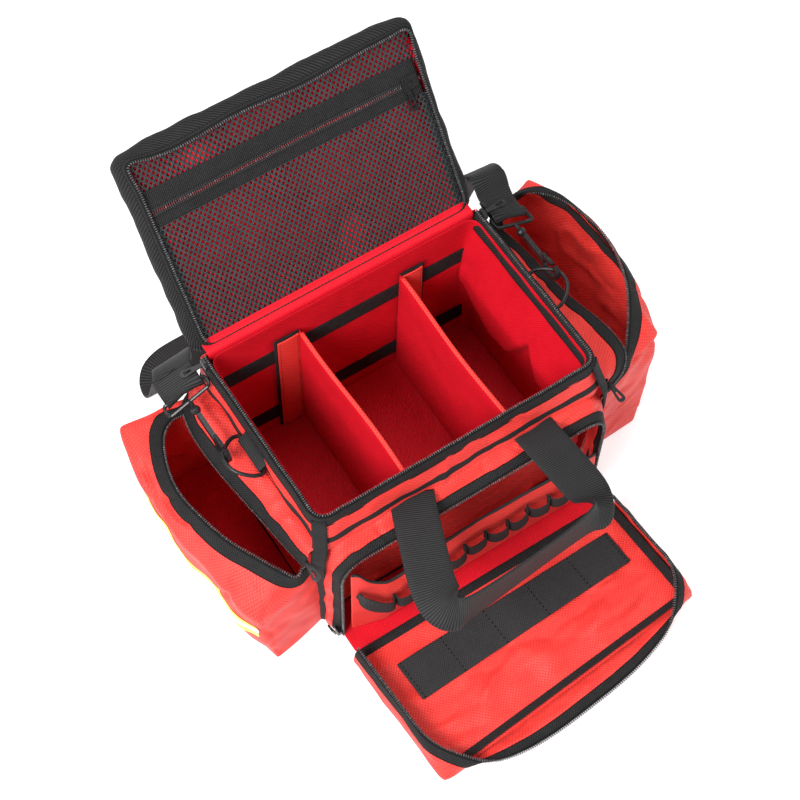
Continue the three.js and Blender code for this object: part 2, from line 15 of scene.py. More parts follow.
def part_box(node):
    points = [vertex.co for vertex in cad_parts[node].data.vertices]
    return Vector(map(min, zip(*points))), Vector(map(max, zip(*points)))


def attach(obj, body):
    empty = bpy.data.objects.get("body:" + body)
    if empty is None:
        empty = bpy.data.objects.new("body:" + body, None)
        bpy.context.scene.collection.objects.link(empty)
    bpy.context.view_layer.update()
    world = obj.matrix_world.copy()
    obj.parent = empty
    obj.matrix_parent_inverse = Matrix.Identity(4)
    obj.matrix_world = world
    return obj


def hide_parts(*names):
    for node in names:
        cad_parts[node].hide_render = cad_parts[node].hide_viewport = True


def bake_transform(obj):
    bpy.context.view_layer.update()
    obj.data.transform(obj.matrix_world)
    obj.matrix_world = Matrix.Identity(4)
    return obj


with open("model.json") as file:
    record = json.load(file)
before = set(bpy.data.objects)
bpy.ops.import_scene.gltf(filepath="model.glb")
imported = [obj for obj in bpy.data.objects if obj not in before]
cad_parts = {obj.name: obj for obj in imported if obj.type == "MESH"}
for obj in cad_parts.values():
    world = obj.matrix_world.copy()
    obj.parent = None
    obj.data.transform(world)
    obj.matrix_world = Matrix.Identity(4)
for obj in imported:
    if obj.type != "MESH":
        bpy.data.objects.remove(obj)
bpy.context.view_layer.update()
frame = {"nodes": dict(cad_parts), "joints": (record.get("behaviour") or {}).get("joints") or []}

MM = 0.001
joints = {joint["name"]: joint for joint in frame["joints"]}


def corners(node):
    """Lowest and highest corner of a CAD node, in millimetres."""
    return [np.array(corner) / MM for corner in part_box(node)]


def pivot(joint):
    """A joint's own point, in millimetres."""
    return np.array(joints[joint]["pos_m"]) / MM


# ---------------------------------------------------------------- driving sizes, from the frame

WIDE = corners("base_panel")[1][0]          # half width of the main compartment
DEEP = corners("base_panel")[1][1]          # half depth
RIM = pivot("lid_hinge")[2]                 # height of the compartment's rim
WALL = WIDE - corners("right_wall")[0][0]   # thickness of its padded wall
CORNER_RADIUS = 20                          # of the compartment's upright corners
LID_LEAN = math.radians(joints["lid_hinge"]["range_deg"][1])
LID_LONG = 2 * DEEP
POCKET_WIDE = corners("flap_panel")[1][0]   # half width of the front pocket
POCKET_TOP = corners("front_pocket_gusset")[1][2]
POCKET_ZIP_Y = corners("front_pocket_zip_track")[0][1]
FOLD_Y = pivot("flap_hinge")[1]
FLAP_FAR_Y = corners("flap_panel")[0][1]
WEB = 48                                    # width of the webbing
WEB_THICK = 2.4
CLOTH = 1.2                                 # thickness of the bag fabric
TAPE = 2.3                                  # a tape or binding stands a little proud of the cloth
TOOTH_PITCH = 2.6


# ---------------------------------------------------------------- camera

def make_camera():
    """The photographer's place: high, in front and to the left of the bag."""
    azimuth, elevation, roll = (math.radians(angle) for angle in (-34.709, 61.216, 1.82))
    back = Vector((math.sin(azimuth) * math.cos(elevation), -math.cos(azimuth) * math.cos(elevation),
                   math.sin(elevation)))
    data = bpy.data.cameras.new("camera")
    data.sensor_width = 36
    data.lens = 83.28
    camera = bpy.data.objects.new("camera", data)
    bpy.context.scene.collection.objects.link(camera)
    camera.rotation_mode = "QUATERNION"
    turn = Matrix.Rotation(roll, 3, "Z").to_quaternion()
    camera.rotation_quaternion = (-back).to_track_quat("-Z", "Y") @ turn
    camera.location = (-0.5553, -0.8036, 1.9209)
    bpy.context.scene.camera = camera


# ---------------------------------------------------------------- materials

def node(tree, kind, inputs=None, **settings):
    """A shader node with its settings and inputs; an input may be another node's socket."""
    made = tree.nodes.new(kind)
    for key, value in settings.items():
        setattr(made, key, value)
    for key, value in (inputs or {}).items():
        if isinstance(value, bpy.types.NodeSocket):
            tree.links.new(value, made.inputs[key])
        else:
            made.inputs[key].default_value = value
    return made


def calculate(tree, operation, first, second=0.0):
    return node(tree, "ShaderNodeMath", {0: first, 1: second}, operation=operation).outputs[0]


def weave(tree, along, across, twill):
    """Height of a woven surface from its UV, in metres: crossing threads, or slanted ribs for twill."""
    place = node(tree, "ShaderNodeUVMap")
    split = node(tree, "ShaderNodeSeparateXYZ", {0: place.outputs[0]})
    u = calculate(tree, "MULTIPLY", split.outputs[0], 2 * math.pi / (along * MM))
    v = calculate(tree, "MULTIPLY", split.outputs[1], 2 * math.pi / (across * MM))
    if twill:
        return calculate(tree, "SINE", calculate(tree, "ADD", u, v))
    return calculate(tree, "MULTIPLY", calculate(tree, "SINE", u), calculate(tree, "SINE", v))


def textile(name, dark, light, threads, depth, roughness, sheen=0.05, twill=False, specular=0.25, mottle=60,
            uneven=0.5):
    """Woven cloth: threads in relief, darker between them as painted shade, with uneven dye and soft sheen."""
    material = bpy.data.materials.new(name)
    material.use_nodes = True
    tree = material.node_tree
    shader = tree.nodes["Principled BSDF"]
    threads_height = weave(tree, *threads, twill)
    place = node(tree, "ShaderNodeTexCoord").outputs["Object"]
    cloud = node(tree, "ShaderNodeTexNoise", {"Vector": place, "Scale": mottle, "Detail": 4.0,
                                               "Roughness": 0.6})
    fibre = node(tree, "ShaderNodeTexNoise", {"Vector": place, "Scale": 1800.0, "Detail": 2.0})
    # painted shade: the colour darkens between the threads, following their height; the uneven dye is added on
    # top
    level = calculate(tree, "MULTIPLY_ADD", threads_height, 0.36)
    level.node.inputs[2].default_value = 0.5
    dye = calculate(tree, "MULTIPLY", calculate(tree, "SUBTRACT", cloud.outputs[0], 0.5), uneven)
    tone = node(tree, "ShaderNodeMix", {0: calculate(tree, "ADD", level, dye), 6: (*dark, 1), 7: (*light, 1)},
                data_type="RGBA")
    tree.links.new(tone.outputs[2], shader.inputs["Base Color"])
    relief = calculate(tree, "ADD", threads_height, calculate(tree, "MULTIPLY", fibre.outputs[0], 0.7))
    bump = node(tree, "ShaderNodeBump", {"Height": relief, "Strength": 0.8, "Distance": depth * MM})
    tree.links.new(bump.outputs[0], shader.inputs["Normal"])
    rough = calculate(tree, "MULTIPLY_ADD", cloud.outputs[0], 0.16)
    rough.node.inputs[2].default_value = roughness - 0.08
    tree.links.new(rough, shader.inputs["Roughness"])
    shader.inputs["Specular IOR Level"].default_value = specular
    shader.inputs["Sheen Weight"].default_value = sheen
    shader.inputs["Sheen Roughness"].default_value = 0.4
    shader.inputs["Sheen Tint"].default_value = (*(min(1.0, 0.3 + part) for part in light), 1)
    return material


def lacquer(name, colour, worn_and_glint, roughness, metallic):
    """Painted or plated metal, or moulded plastic, with lighter patches: rubbed wear on the metal, painted
    glints on the zip coil.
    """
    material = bpy.data.materials.new(name)
    material.use_nodes = True
    tree = material.node_tree
    shader = tree.nodes["Principled BSDF"]
    place = node(tree, "ShaderNodeTexCoord").outputs["Object"]
    grain = node(tree, "ShaderNodeTexNoise", {"Vector": place, "Scale": 420.0, "Detail": 5.0})
    # lighter patches: rubbed wear on the metal, painted glints on the zip coil
    wear_and_glint = node(tree, "ShaderNodeMapRange", {"Value": grain.outputs[0], "From Min": 0.5, "From Max": 0.75})
    tone = node(tree, "ShaderNodeMix", {0: wear_and_glint.outputs[0], 6: (*colour, 1), 7: (*worn_and_glint, 1)}, data_type="RGBA")
    tree.links.new(tone.outputs[2], shader.inputs["Base Color"])
    rough = calculate(tree, "MULTIPLY_ADD", grain.outputs[0], 0.2)
    rough.node.inputs[2].default_value = roughness - 0.1
    tree.links.new(rough, shader.inputs["Roughness"])
    bump = node(tree, "ShaderNodeBump", {"Height": grain.outputs[0], "Strength": 0.15, "Distance": 0.1 * MM})
    tree.links.new(bump.outputs[0], shader.inputs["Normal"])
    shader.inputs["Metallic"].default_value = metallic
    shader.inputs["Specular IOR Level"].default_value = 0.3
    shader.inputs["Coat Weight"].default_value = 0.08
    return material


RED = textile("red_cloth", (0.60, 0.014, 0.018), (0.92, 0.068, 0.048), (4.2, 4.2), 0.28, 0.46, 0.1,
              uneven=0.6)
# The lining is a darker copy of the red cloth: painted shade for the bag's insides.
SHADED_LINING = textile("red_lining", (0.48, 0.002, 0.012), (0.72, 0.010, 0.022), (3.6, 3.6), 0.25, 0.55, 0.02,
                 specular=0.15)
WEBBING = textile("black_webbing", (0.005, 0.005, 0.005), (0.040, 0.040, 0.041), (2.4, 40), 0.22, 0.5, 0.02,
                  twill=True, specular=0.1, mottle=30, uneven=0.2)
TAPE_CLOTH = textile("black_tape", (0.005, 0.005, 0.005), (0.036, 0.035, 0.036), (3.0, 3.0), 0.6, 0.6, 0.02,
                     specular=0.1, mottle=120, uneven=0.4)
TWILL = textile("black_twill", (0.005, 0.005, 0.0055), (0.032, 0.031, 0.032), (4.4, 4.4), 0.5, 0.6, 0.02,
                twill=True, specular=0.1, mottle=90, uneven=0.4)
ELASTIC = textile("grey_elastic", (0.014, 0.014, 0.015), (0.046, 0.045, 0.047), (3.2, 3.2), 0.4, 0.6, 0.02,
                  specular=0.1, mottle=90, uneven=0.3)
LOOP_TAPE = textile("loop_tape", (0.003, 0.003, 0.003), (0.034, 0.033, 0.034), (2.0, 2.4), 0.9, 0.85, 0.1,
                    specular=0.1, mottle=200, uneven=1.2)
# The netting is black mesh; its dark grey colour is painted sheen.
NETTING = textile("netting", (0.012, 0.016, 0.018), (0.075, 0.086, 0.090), (2.6, 2.6), 0.5, 0.5, specular=0.1,
                  mottle=90)
THREAD = textile("black_thread", (0.003, 0.003, 0.003), (0.012, 0.012, 0.012), (0.8, 0.8), 0.1, 0.6, 0.02,
                 specular=0.1)
# The zip coil is black nylon: its grey colour and lighter patches are painted glints.
COIL = lacquer("zip_coil", (0.06, 0.06, 0.063), (0.24, 0.24, 0.245), 0.3, 0.0)
METAL = lacquer("black_metal", (0.008, 0.008, 0.009), (0.030, 0.030, 0.032), 0.38, 0.1)
YELLOW = textile("reflective_yellow", (0.70, 0.88, 0.10), (0.86, 1.0, 0.20), (1.2, 1.2), 0.1, 0.45)
SILVER = textile("reflective_silver", (0.58, 0.60, 0.60), (0.74, 0.76, 0.76), (0.9, 0.9), 0.08, 0.35)


# ---------------------------------------------------------------- lines

def resample(line, count):
    """The same line as count evenly spaced points; further columns are carried along."""
    steps = np.linalg.norm(np.diff(line[:, :3], axis=0), axis=1)
    along = np.concatenate([[0], np.cumsum(steps)])
    wanted = np.linspace(0, along[-1], count)
    return np.column_stack([np.interp(wanted, along, line[:, k]) for k in range(line.shape[1])])


def spline(points, count):
    """A smooth line through the points, evenly spaced."""
    p = np.array(points, float)
    p = np.vstack([2 * p[0] - p[1], p, 2 * p[-1] - p[-2]])
    t = np.linspace(0, 1, 10, endpoint=False)[:, None]
    parts = [0.5 * (2 * b + (c - a) * t + (2 * a - 5 * b + 4 * c - d) * t**2 + (3 * b - a - 3 * c + d) * t**3)
             for a, b, c, d in zip(p, p[1:], p[2:], p[3:])]
    return resample(np.vstack([*parts, p[-2:-1]]), count)


def rounded(points, radius, count):
    """Straight runs between the points with each corner rounded off, evenly spaced."""
    p = np.array(points, float)
    line = [p[:1]]
    t = np.linspace(0, 1, 9)[:, None]
    for before, at, after in zip(p, p[1:], p[2:]):
        back, on = before - at, after - at
        cut = min(radius, 0.49 * np.linalg.norm(back), 0.49 * np.linalg.norm(on))
        start, end = at + back / np.linalg.norm(back) * cut, at + on / np.linalg.norm(on) * cut
        line.append((1 - t)**2 * start + 2 * t * (1 - t) * at + t**2 * end)
    return resample(np.vstack([*line, p[-1:]]), count)


def unit(vectors):
    return vectors / np.maximum(np.linalg.norm(vectors, axis=-1, keepdims=True), 1e-9)


def tangents(line):
    return unit(np.gradient(line[:, :3], axis=0))


def arc(centre, radius, start, end, steps=9):
    """Points of an arc in a plane, angles in degrees."""
    angles = np.radians(np.linspace(start, end, steps))
    return np.column_stack([centre[0] + radius * np.cos(angles), centre[1] + radius * np.sin(angles)])


# ---------------------------------------------------------------- meshes

def mesh_piece(name, points, faces, material, uv=None, merge=False):
    """A mesh object from millimetre points; uv has one pair in millimetres for each point."""
    mesh = bpy.data.meshes.new(name)
    mesh.from_pydata((np.asarray(points) * MM).tolist(), [], [tuple(face) for face in faces])
    if uv is not None:
        layer = mesh.uv_layers.new(name="UVMap")
        corner_points = np.empty(len(mesh.loops), int)
        mesh.loops.foreach_get("vertex_index", corner_points)
        layer.data.foreach_set("uv", (np.asarray(uv)[corner_points] * MM).ravel())
    if merge:
        edit = bmesh.new()
        edit.from_mesh(mesh)
        bmesh.ops.remove_doubles(edit, verts=edit.verts, dist=0.02 * MM)
        edit.to_mesh(mesh)
        edit.free()
    mesh.shade_smooth()
    mesh.materials.append(material)
    piece = bpy.data.objects.new(name, mesh)
    bpy.context.scene.collection.objects.link(piece)
    return piece


def grid_faces(rows, columns):
    index = np.arange(rows * columns).reshape(rows, columns)
    return np.stack([index[:-1, :-1], index[:-1, 1:], index[1:, 1:], index[1:, :-1]], axis=-1).reshape(-1, 4)


def lengths(grid, axis):
    """How far each row or column lies along the grid, averaged over the other way."""
    steps = np.linalg.norm(np.diff(grid, axis=axis), axis=-1).mean(axis=1 - axis)
    return np.concatenate([[0], np.cumsum(steps)])


def flat_map(grid):
    """Each point's distance along the columns and along the rows, in pairs."""
    u, v = np.meshgrid(lengths(grid, 1), lengths(grid, 0))
    return np.column_stack([u.ravel(), v.ravel()])


def spread(x, y, columns, rows):
    """X and Y of an even grid from x[0] to x[1] and from y[0] to y[1]."""
    return np.meshgrid(np.linspace(*x, columns), np.linspace(*y, rows))


def level_grid(x, y, z, columns, rows):
    """An even grid of points at one height."""
    across, along = spread(x, y, columns, rows)
    return np.stack([across, along, np.full_like(across, z)], axis=-1)


def thicken(piece, thick, offset=0.0):
    """Give a flat mesh its thickness, in millimetres; an offset of 0 shares it between both faces."""
    shell = piece.modifiers.new("thickness", "SOLIDIFY")
    shell.thickness = thick * MM
    shell.offset = offset


def sheet(name, grid, material, thick=CLOTH, offset=0.0, ring=False, smooth=True):
    """A cloth sheet through a grid of points. A ring's last column meets its first."""
    if ring:
        grid = np.concatenate([grid, grid[:, :1]], axis=1)
    rows, columns = grid.shape[:2]
    faces = grid_faces(rows, columns)
    piece = mesh_piece(name, grid.reshape(-1, 3), faces, material, flat_map(grid), merge=True)
    thicken(piece, thick, offset)
    if smooth:
        piece.modifiers.new("smooth", "SUBSURF").render_levels = 1
    return piece


def normals(grid):
    return unit(np.cross(np.gradient(grid, axis=1), np.gradient(grid, axis=0)))


def noise_field(a, b, size, seed):
    """Smooth noise between -1 and 1 at arrays of points; size is how wide its swells are each way."""
    a, b = np.broadcast_arrays(a, b)
    values = [noise.noise((p / size[0], q / size[1], seed)) for p, q in zip(a.ravel(), b.ravel())]
    return np.array(values).reshape(a.shape)


def cloth_map(grid, pin):
    """How far each point lies along columns and rows, and a share that falls to 0 over pin at the edges."""
    u, v = np.meshgrid(lengths(grid, 1), lengths(grid, 0))
    edge = np.minimum(np.minimum(v, v.max() - v), np.minimum(u, u.max() - u))
    return u, v, np.clip(edge / pin, 0, 1)


def folds(grid, height, size, seed, pin):
    """The grid with soft folds along its normals. size is their length along columns and along rows."""
    u, v, held = cloth_map(grid, pin)
    lift = noise_field(u, v, size, seed) + 0.4 * noise_field(2.3 * u, 2.3 * v, size, seed + 7)
    return grid + normals(grid) * (lift * height * held)[..., None]


def wrinkles(grid, height, size, seed, pin, sharp=0.35):
    """The grid with pinched creases along its normals: thin ridges where a noise crosses zero, in patches."""
    u, v, held = cloth_map(grid, pin)
    ridge = np.exp(-(noise_field(u, v, size, seed) / (0.16 * sharp))**2)
    patch = np.clip(noise_field(u, v, (90, 90), seed + 3) * 2.2 + 0.35, 0, 1)
    return grid + normals(grid) * (ridge * patch * height * held)[..., None]


def band(grid, start, width, rows=4):
    """The strip of a sheet that lies from start to start + width from its last row."""
    strip = np.empty((rows, grid.shape[1], 3))
    wanted = start + np.linspace(0, width, rows)
    for column in range(grid.shape[1]):
        down = grid[::-1, column]
        along = np.concatenate([[0], np.cumsum(np.linalg.norm(np.diff(down, axis=0), axis=1))])
        strip[:, column] = np.column_stack([np.interp(wanted, along, down[:, k]) for k in range(3)])
    return strip


def sweep(name, line, across, section, material):
    """A section of (across, outwards) points swept along a line, capped at both ends."""
    forward = tangents(line)
    side = unit(across - (across * forward).sum(-1, keepdims=True) * forward)
    out = np.cross(forward, side)
    section = np.asarray(section, float)
    grid = line[:, None, :3] + side[:, None] * section[None, :, :1] + out[:, None] * section[None, :, 1:]
    grid = np.concatenate([grid, grid[:, :1]], axis=1)
    rows, columns = grid.shape[:2]
    faces = grid_faces(rows, columns)[:, ::-1].tolist()
    faces.append(list(range(columns - 1)))
    faces.append([(rows - 1) * columns + k for k in reversed(range(columns - 1))])
    along_first = flat_map(grid)[:, ::-1]
    return mesh_piece(name, grid.reshape(-1, 3), faces, material, along_first, merge=True)


def strap(name, stations, width, material, thick=WEB_THICK, spacing=4):
    """Flat webbing through stations of (centre, direction of its width), with rounded selvedges."""
    table = np.array([[*centre, *across] for centre, across in stations], float)
    rough = spline(table, 60)
    count = int(np.linalg.norm(np.diff(rough[:, :3], axis=0), axis=1).sum() / spacing) + 2
    line = spline(table, count)
    half, deep = width / 2, thick / 2
    top = [(x, deep) for x in np.linspace(half - deep, -half + deep, 9)]
    section = [*top, (-half, deep * 0.4), (-half, -deep * 0.4), *[(x, -y) for x, y in reversed(top)],
               (half, -deep * 0.4), (half, deep * 0.4)]
    return sweep(name, line[:, :3], line[:, 3:], section, material)


def rod(name, points, radius, material, count, sides=12):
    """Round wire along a line."""
    line = spline(points, count)
    forward = tangents(line)
    guess = np.array([0.0, 0.0, 1.0]) if abs(forward[0][2]) < 0.8 else np.array([1.0, 0.0, 0.0])
    across = []
    for direction in forward:
        guess = unit(guess - guess @ direction * direction)
        across.append(guess)
    return sweep(name, line, np.array(across), arc((0, 0), radius, 0, 360 * (1 - 1 / sides), sides), material)


def beads(name, runs, pitch, size, material):
    """Rounded lumps, as zip teeth or stitches. runs are (line, ups); size is along, across, up."""
    rings = [(0.0, 0.0, -1.0)]
    for level in (-0.55, 0.55):
        wide = math.sqrt(1 - level * level)
        rings += [(wide * math.cos(angle), wide * math.sin(angle), level)
                  for angle in np.arange(6) * math.pi / 3]
    lump = np.array([*rings, (0.0, 0.0, 1.0)]) * np.array(size) / 2
    faces = [(0, 1 + (k + 1) % 6, 1 + k) for k in range(6)]
    faces += [(1 + k, 1 + (k + 1) % 6, 7 + (k + 1) % 6, 7 + k) for k in range(6)]
    faces += [(13, 7 + k, 7 + (k + 1) % 6) for k in range(6)]
    points, polygons = [], []
    for line, ups in runs:
        long = np.linalg.norm(np.diff(line[:, :3], axis=0), axis=1).sum()
        both = resample(np.column_stack([line[:, :3], np.broadcast_to(ups, line[:, :3].shape)]),
                        max(3, int(long / pitch)))
        forward = tangents(both)
        up = unit(both[:, 3:] - (both[:, 3:] * forward).sum(-1, keepdims=True) * forward)
        side = np.cross(up, forward)
        for at, x, y, z in zip(both[:, :3], forward, side, up):
            polygons += [tuple(len(points) * 14 + k for k in face) for face in faces]
            points.append(at + lump[:, :1] * x + lump[:, 1:2] * y + lump[:, 2:] * z)
    return mesh_piece(name, np.concatenate(points), polygons, material)


# ---------------------------------------------------------------- joining pieces to the frame

def place(piece, body, slot, *nodes):
    """A piece rides on a body. Given (body, body, start, end) in millimetres instead, it is fixed where it
    lies, on no body; the two bodies and the ends are not used.
    """
    if nodes:
        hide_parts(*nodes)
    if isinstance(body, str):
        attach(piece, body)
    else:
        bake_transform(piece)
    return piece


def zip_edge(name, grid, body, *nodes, tape, ups=None):
    """A zip's half along a sheet's last row: tape on both faces, its folded edge, and the coil's teeth."""
    strip = band(grid, -0.5, tape, 8)
    place(sheet(f"{name}_tape", strip, TAPE_CLOTH, TAPE + 0.5), body, "black_binding", *nodes)
    fold = band(grid, tape - 1.5, 1.5, 2)
    place(sheet(f"{name}_tape_edge", fold, THREAD, TAPE + 1.2), body, "black_binding")
    edge = grid[-1]
    outwards = unit(edge - band(grid, 4, 1, 2)[0])
    face = normals(grid)[-1] if ups is None else np.broadcast_to(ups, edge.shape)
    cord = band(grid, 0.2, 3.4, 2)
    place(sheet(f"{name}_cord", cord, THREAD, TAPE + 1.7), body, "black_binding")
    teeth = beads(f"{name}_teeth", [(edge + outwards * 0.8, face)], TOOTH_PITCH, (1.5, 4.0, 4.4), COIL)
    place(teeth, body, "black_zip")


def seam_tape(name, grid, start, width, body, material=TAPE_CLOTH):
    """A tape sewn on a sheet at a distance from its last row."""
    place(sheet(name, band(grid, start, width), material, TAPE), body, "black_binding")


# ---------------------------------------------------------------- main compartment

# Height, and how far the outer cloth stands out from the frame at the sides and at the front.
WALL_PROFILE = [(1, -1, -1), (8, 1, 1), (60, 2, 2), (130, 3, 4), (175, 4, 8), (190, 5, 11), (200, 4, 9),
                (214, 2.5, 5), (226, 1, 1.5), (RIM, 0, 0)]


def wall_row(z, side, front, count):
    """The outer wall's outline at a height, from the rear left corner round the front to the rear right."""
    x, y = WIDE + side, -DEEP - front
    return rounded([(-x, DEEP, z), (-x, y, z), (x, y, z), (x, DEEP, z)], CORNER_RADIUS, count)


def outer_walls():
    levels = np.array(WALL_PROFILE, float)
    heights = np.linspace(levels[0][0], RIM, 56)
    rows = [wall_row(z, *(np.interp(z, levels[:, 0], levels[:, k]) for k in (1, 2)), 200) for z in heights]
    grid = folds(np.array(rows), 3.6, (46, 26), 3, pin=20)
    grid = wrinkles(grid, 4.4, (64, 30), 5, pin=20)
    place(sheet("outer_walls", grid, RED), "root", "red_fabric", "front_wall", "left_wall", "right_wall")
    seam_tape("wall_seam_tape", grid, 30, 9, "root")


def rim_zip():
    """Zip tape folded over the rim on three sides: a band down both faces, and teeth along the top."""
    line = wall_row(RIM, 0, 0, 300)
    line = line[line[:, 1] < DEEP - 4]
    out = np.cross(tangents(line), (0, 0, 1))
    up = np.array([0, 0, 1])
    length = lengths(line[None], 1)
    wobble = noise_field(length, 0.0, (40, 1), 3.0)[:, None]
    profile = [(3.0, -13), (2.8, -9), (2.2, -3), (0.8, 0.6), (-1.4, 0.2), (-4.5, -3.5), (-WALL + 0.4, -9),
               (-WALL - 2.4, -14), (-WALL - 3.2, -20)]
    tape = np.array([line + out * (outward + wobble) + up * rise for outward, rise in profile])
    place(sheet("rim_zip_tape", tape, TAPE_CLOTH, 1.4), "root", "black_binding", "rim_zip_track")
    for name, outward, rise in (("outer", 3.5, -12.2), ("inner", -WALL - 3.5, -19.2)):
        ridge = np.array([line + out * (outward + wobble) + up * (rise + shift) for shift in (-0.9, 0.9)])
        place(sheet(f"rim_tape_{name}_edge", ridge, THREAD, 1.0), "root", "black_binding")
    cord = np.array([line + out * (outward + wobble) + up * 1.0 for outward in (1.4, -0.6)])
    place(sheet("rim_zip_cord", cord, THREAD, 1.8), "root", "black_binding")
    teeth = beads("rim_zip_teeth", [(line + out * (wobble - 2.2) + up * 1.6, (0, 0, 1))], TOOTH_PITCH,
                  (1.5, 4.2, 3.6), COIL)
    place(teeth, "root", "black_zip")


def corner_bindings():
    """Bound seam down each upright corner of the compartment, a little proud of the outer cloth."""
    levels = np.array(WALL_PROFILE, float)
    cut = CORNER_RADIUS * (1 - math.sqrt(0.5))
    for name, x, y in (("front_left", -1, -1), ("front_right", 1, -1), ("rear_left", -1, 1),
                       ("rear_right", 1, 1)):
        stations = []
        for z in np.linspace(3, RIM - 4, 16):
            side, front = (np.interp(z, levels[:, 0], levels[:, k]) for k in (1, 2))
            proud = np.interp(z, [3, 165, 205, RIM], [11, 11, 3, 1.5])
            if y < 0:
                at = (x * (WIDE + side - cut + proud), y * (DEEP + front - cut + proud), z)
            else:
                at = (x * (WIDE - 3), y * (DEEP - 3), z)
            stations.append((at, (x * 0.75, -y * 0.75, 0)))
        place(strap(f"corner_binding_{name}", stations, 16, TAPE_CLOTH, 3.2, 6), "root", "black_binding")


def rear_wall():
    across, up = spread((-WIDE, WIDE), (1, RIM), 70, 40)
    grid = np.stack([across, np.full_like(across, DEEP - 0.6), up], axis=-1)[:, ::-1]
    grid = folds(grid, 1.8, (60, 34), 11, 20)
    place(sheet("rear_wall_cloth", grid, RED), "root", "red_fabric", "rear_wall")


def base_cloth():
    grid = level_grid((-WIDE, WIDE), (-DEEP, DEEP), 1.0, 60, 40)
    place(sheet("base_cloth", grid, RED, 1.6, smooth=False), "root", "red_fabric", "base_panel")
    edge = rounded([(-WIDE, DEEP, 2.5), (-WIDE, -DEEP, 2.5), (WIDE, -DEEP, 2.5), (WIDE, DEEP, 2.5),
                    (-WIDE, DEEP, 2.5)], 16, 200)
    rod_piece = sweep("base_piping", edge, np.cross(tangents(edge), (0, 0, 1)), arc((0, 0), 2.3, 0, 315, 8),
                      TAPE_CLOTH)
    place(rod_piece, "root", "black_binding")


def lining():
    """Inner walls, hanging a little slack, and the floor over its stiff board."""
    inner_x, inner_y = WIDE - WALL, DEEP - WALL
    rows = []
    for z in np.linspace(8, RIM - 4, 56):
        slack = 2.2 * math.sin(math.pi * (z - 8) / (RIM - 9))
        ring = rounded([(0, inner_y, z), (-inner_x + slack, inner_y, z), (-inner_x + slack, -inner_y, z),
                        (inner_x - slack, -inner_y, z), (inner_x - slack, inner_y, z),
                        (0.01, inner_y, z)], 14, 260)
        rows.append(ring)
    grid = slack_right_wall(np.array(rows), inner_x)
    grid = folds(grid, 1.5, (52, 60), 15, pin=14)
    place(sheet("compartment_lining", grid, SHADED_LINING, 1.0), "root", "red_lining")
    floor = level_grid((-inner_x, inner_x), (-inner_y, inner_y), corners("base_board")[1][2], 80, 50)
    floor = folds(floor, 0.9, (50, 40), 5, 12)
    place(sheet("compartment_floor", floor, SHADED_LINING, 1.0, 1.0), "root", "red_lining", "base_board")


def slack_right_wall(grid, inner_x):
    """Slack lining on the right wall bellies inwards in two lobes above a scalloped crease."""
    y, z = grid[..., 1], grid[..., 2]
    on_wall = np.clip((grid[..., 0] - inner_x + 12) / 8, 0, 1)
    crease = np.interp(y, [-106, -84, -50, -22, 8, 44, 106], [122, 104, 98, 140, 82, 76, 110])
    belly = np.clip((z - crease) / 12, 0, 1)
    belly = belly * belly * (3 - 2 * belly) * np.clip((RIM - 24 - z) / 76, 0, 1)
    grid[..., 0] -= on_wall * belly * 15
    return grid


def loop_strips():
    """Strips on the rear wall, and the front one, that the dividers' tabs hold to."""
    for name in ("rear_loop_strip_upper", "rear_loop_strip_lower"):
        low, high = corners(name)
        x, z = spread((low[0], high[0]), (low[2], high[2]), 90, 8)
        wave = 0.35 * noise_field(x, z, (18, 18), 1.0)
        for side in (1, -1):
            y = np.full_like(x, side * (high[1] - 1)) - side * wave
            strip = np.stack([x, y, z], axis=-1)
            title = name if side > 0 else name.replace("rear", "front")
            piece = sheet(title, strip, LOOP_TAPE, 1.5)
            place(piece, "root", "black_binding", *([name] if side > 0 else []))


# ---------------------------------------------------------------- dividers

def padded_board(y, z, x, thick):
    """A stuffed board standing across X: crowned faces that thin towards the seam round its edge."""
    along, up = spread(y, z, 60, 50)
    s = (along - y[0]) / (y[1] - y[0]) * 2 - 1
    t = (up - z[0]) / (z[1] - z[0]) * 2 - 1
    crown = np.sqrt(np.clip((1 - np.abs(s)**7) * (1 - np.abs(t)**7), 0, 1))
    bow = 1.6 * np.sin(along / 37 + x) * (1 + t) / 2
    puff = noise_field(along, up, (45, 38), x) * 0.8
    faces = []
    for side in (1, -1):
        out = 0.4 + (thick / 2 - 0.4 + puff) * crown
        faces.append(np.stack([x + bow + side * out, along, up], axis=-1))
    front, back = faces
    return np.concatenate([front, back[:, ::-1]], axis=1)


def divider(side_name, tab_side):
    name = f"divider_{side_name}"
    low, high = corners(name)
    board_x = (low[0] + 4) if tab_side > 0 else (high[0] - 4)
    top, bottom = high[2], low[2]
    ring = padded_board((low[1], high[1]), (bottom + 1, top), board_x, 8)
    rows, columns = ring.shape[:2]
    closed = np.concatenate([ring, ring[:, :1]], axis=1)
    faces = grid_faces(rows, columns + 1).tolist()
    half = columns // 2
    for row in (0, rows - 1):
        start = row * (columns + 1)
        for k in range(half - 1):
            quad = [start + k, start + k + 1, start + columns - 2 - k, start + columns - 1 - k]
            faces.append(quad[::-1] if row == 0 else quad)
    board = mesh_piece(name, closed.reshape(-1, 3), faces, SHADED_LINING, flat_map(closed), merge=True)
    board.modifiers.new("smooth", "SUBSURF").render_levels = 1
    place(board, name, "red_lining", name)
    divider_tab(name, board_x, tab_side, high[1] - 1.5, bottom, top)
    # The top seam takes the brighter outer red rather than the lining: painted highlight along the divider's
    # top.
    seam_y = np.linspace(low[1] + 6, high[1] - 6, 60)
    edge = np.column_stack([board_x + 1.6 * np.sin(seam_y / 37 + board_x), seam_y, np.full(60, top)])
    place(strap_line(f"{name}_top_seam", edge, (1, 0, 0), 5, RED), name, "red_lining")


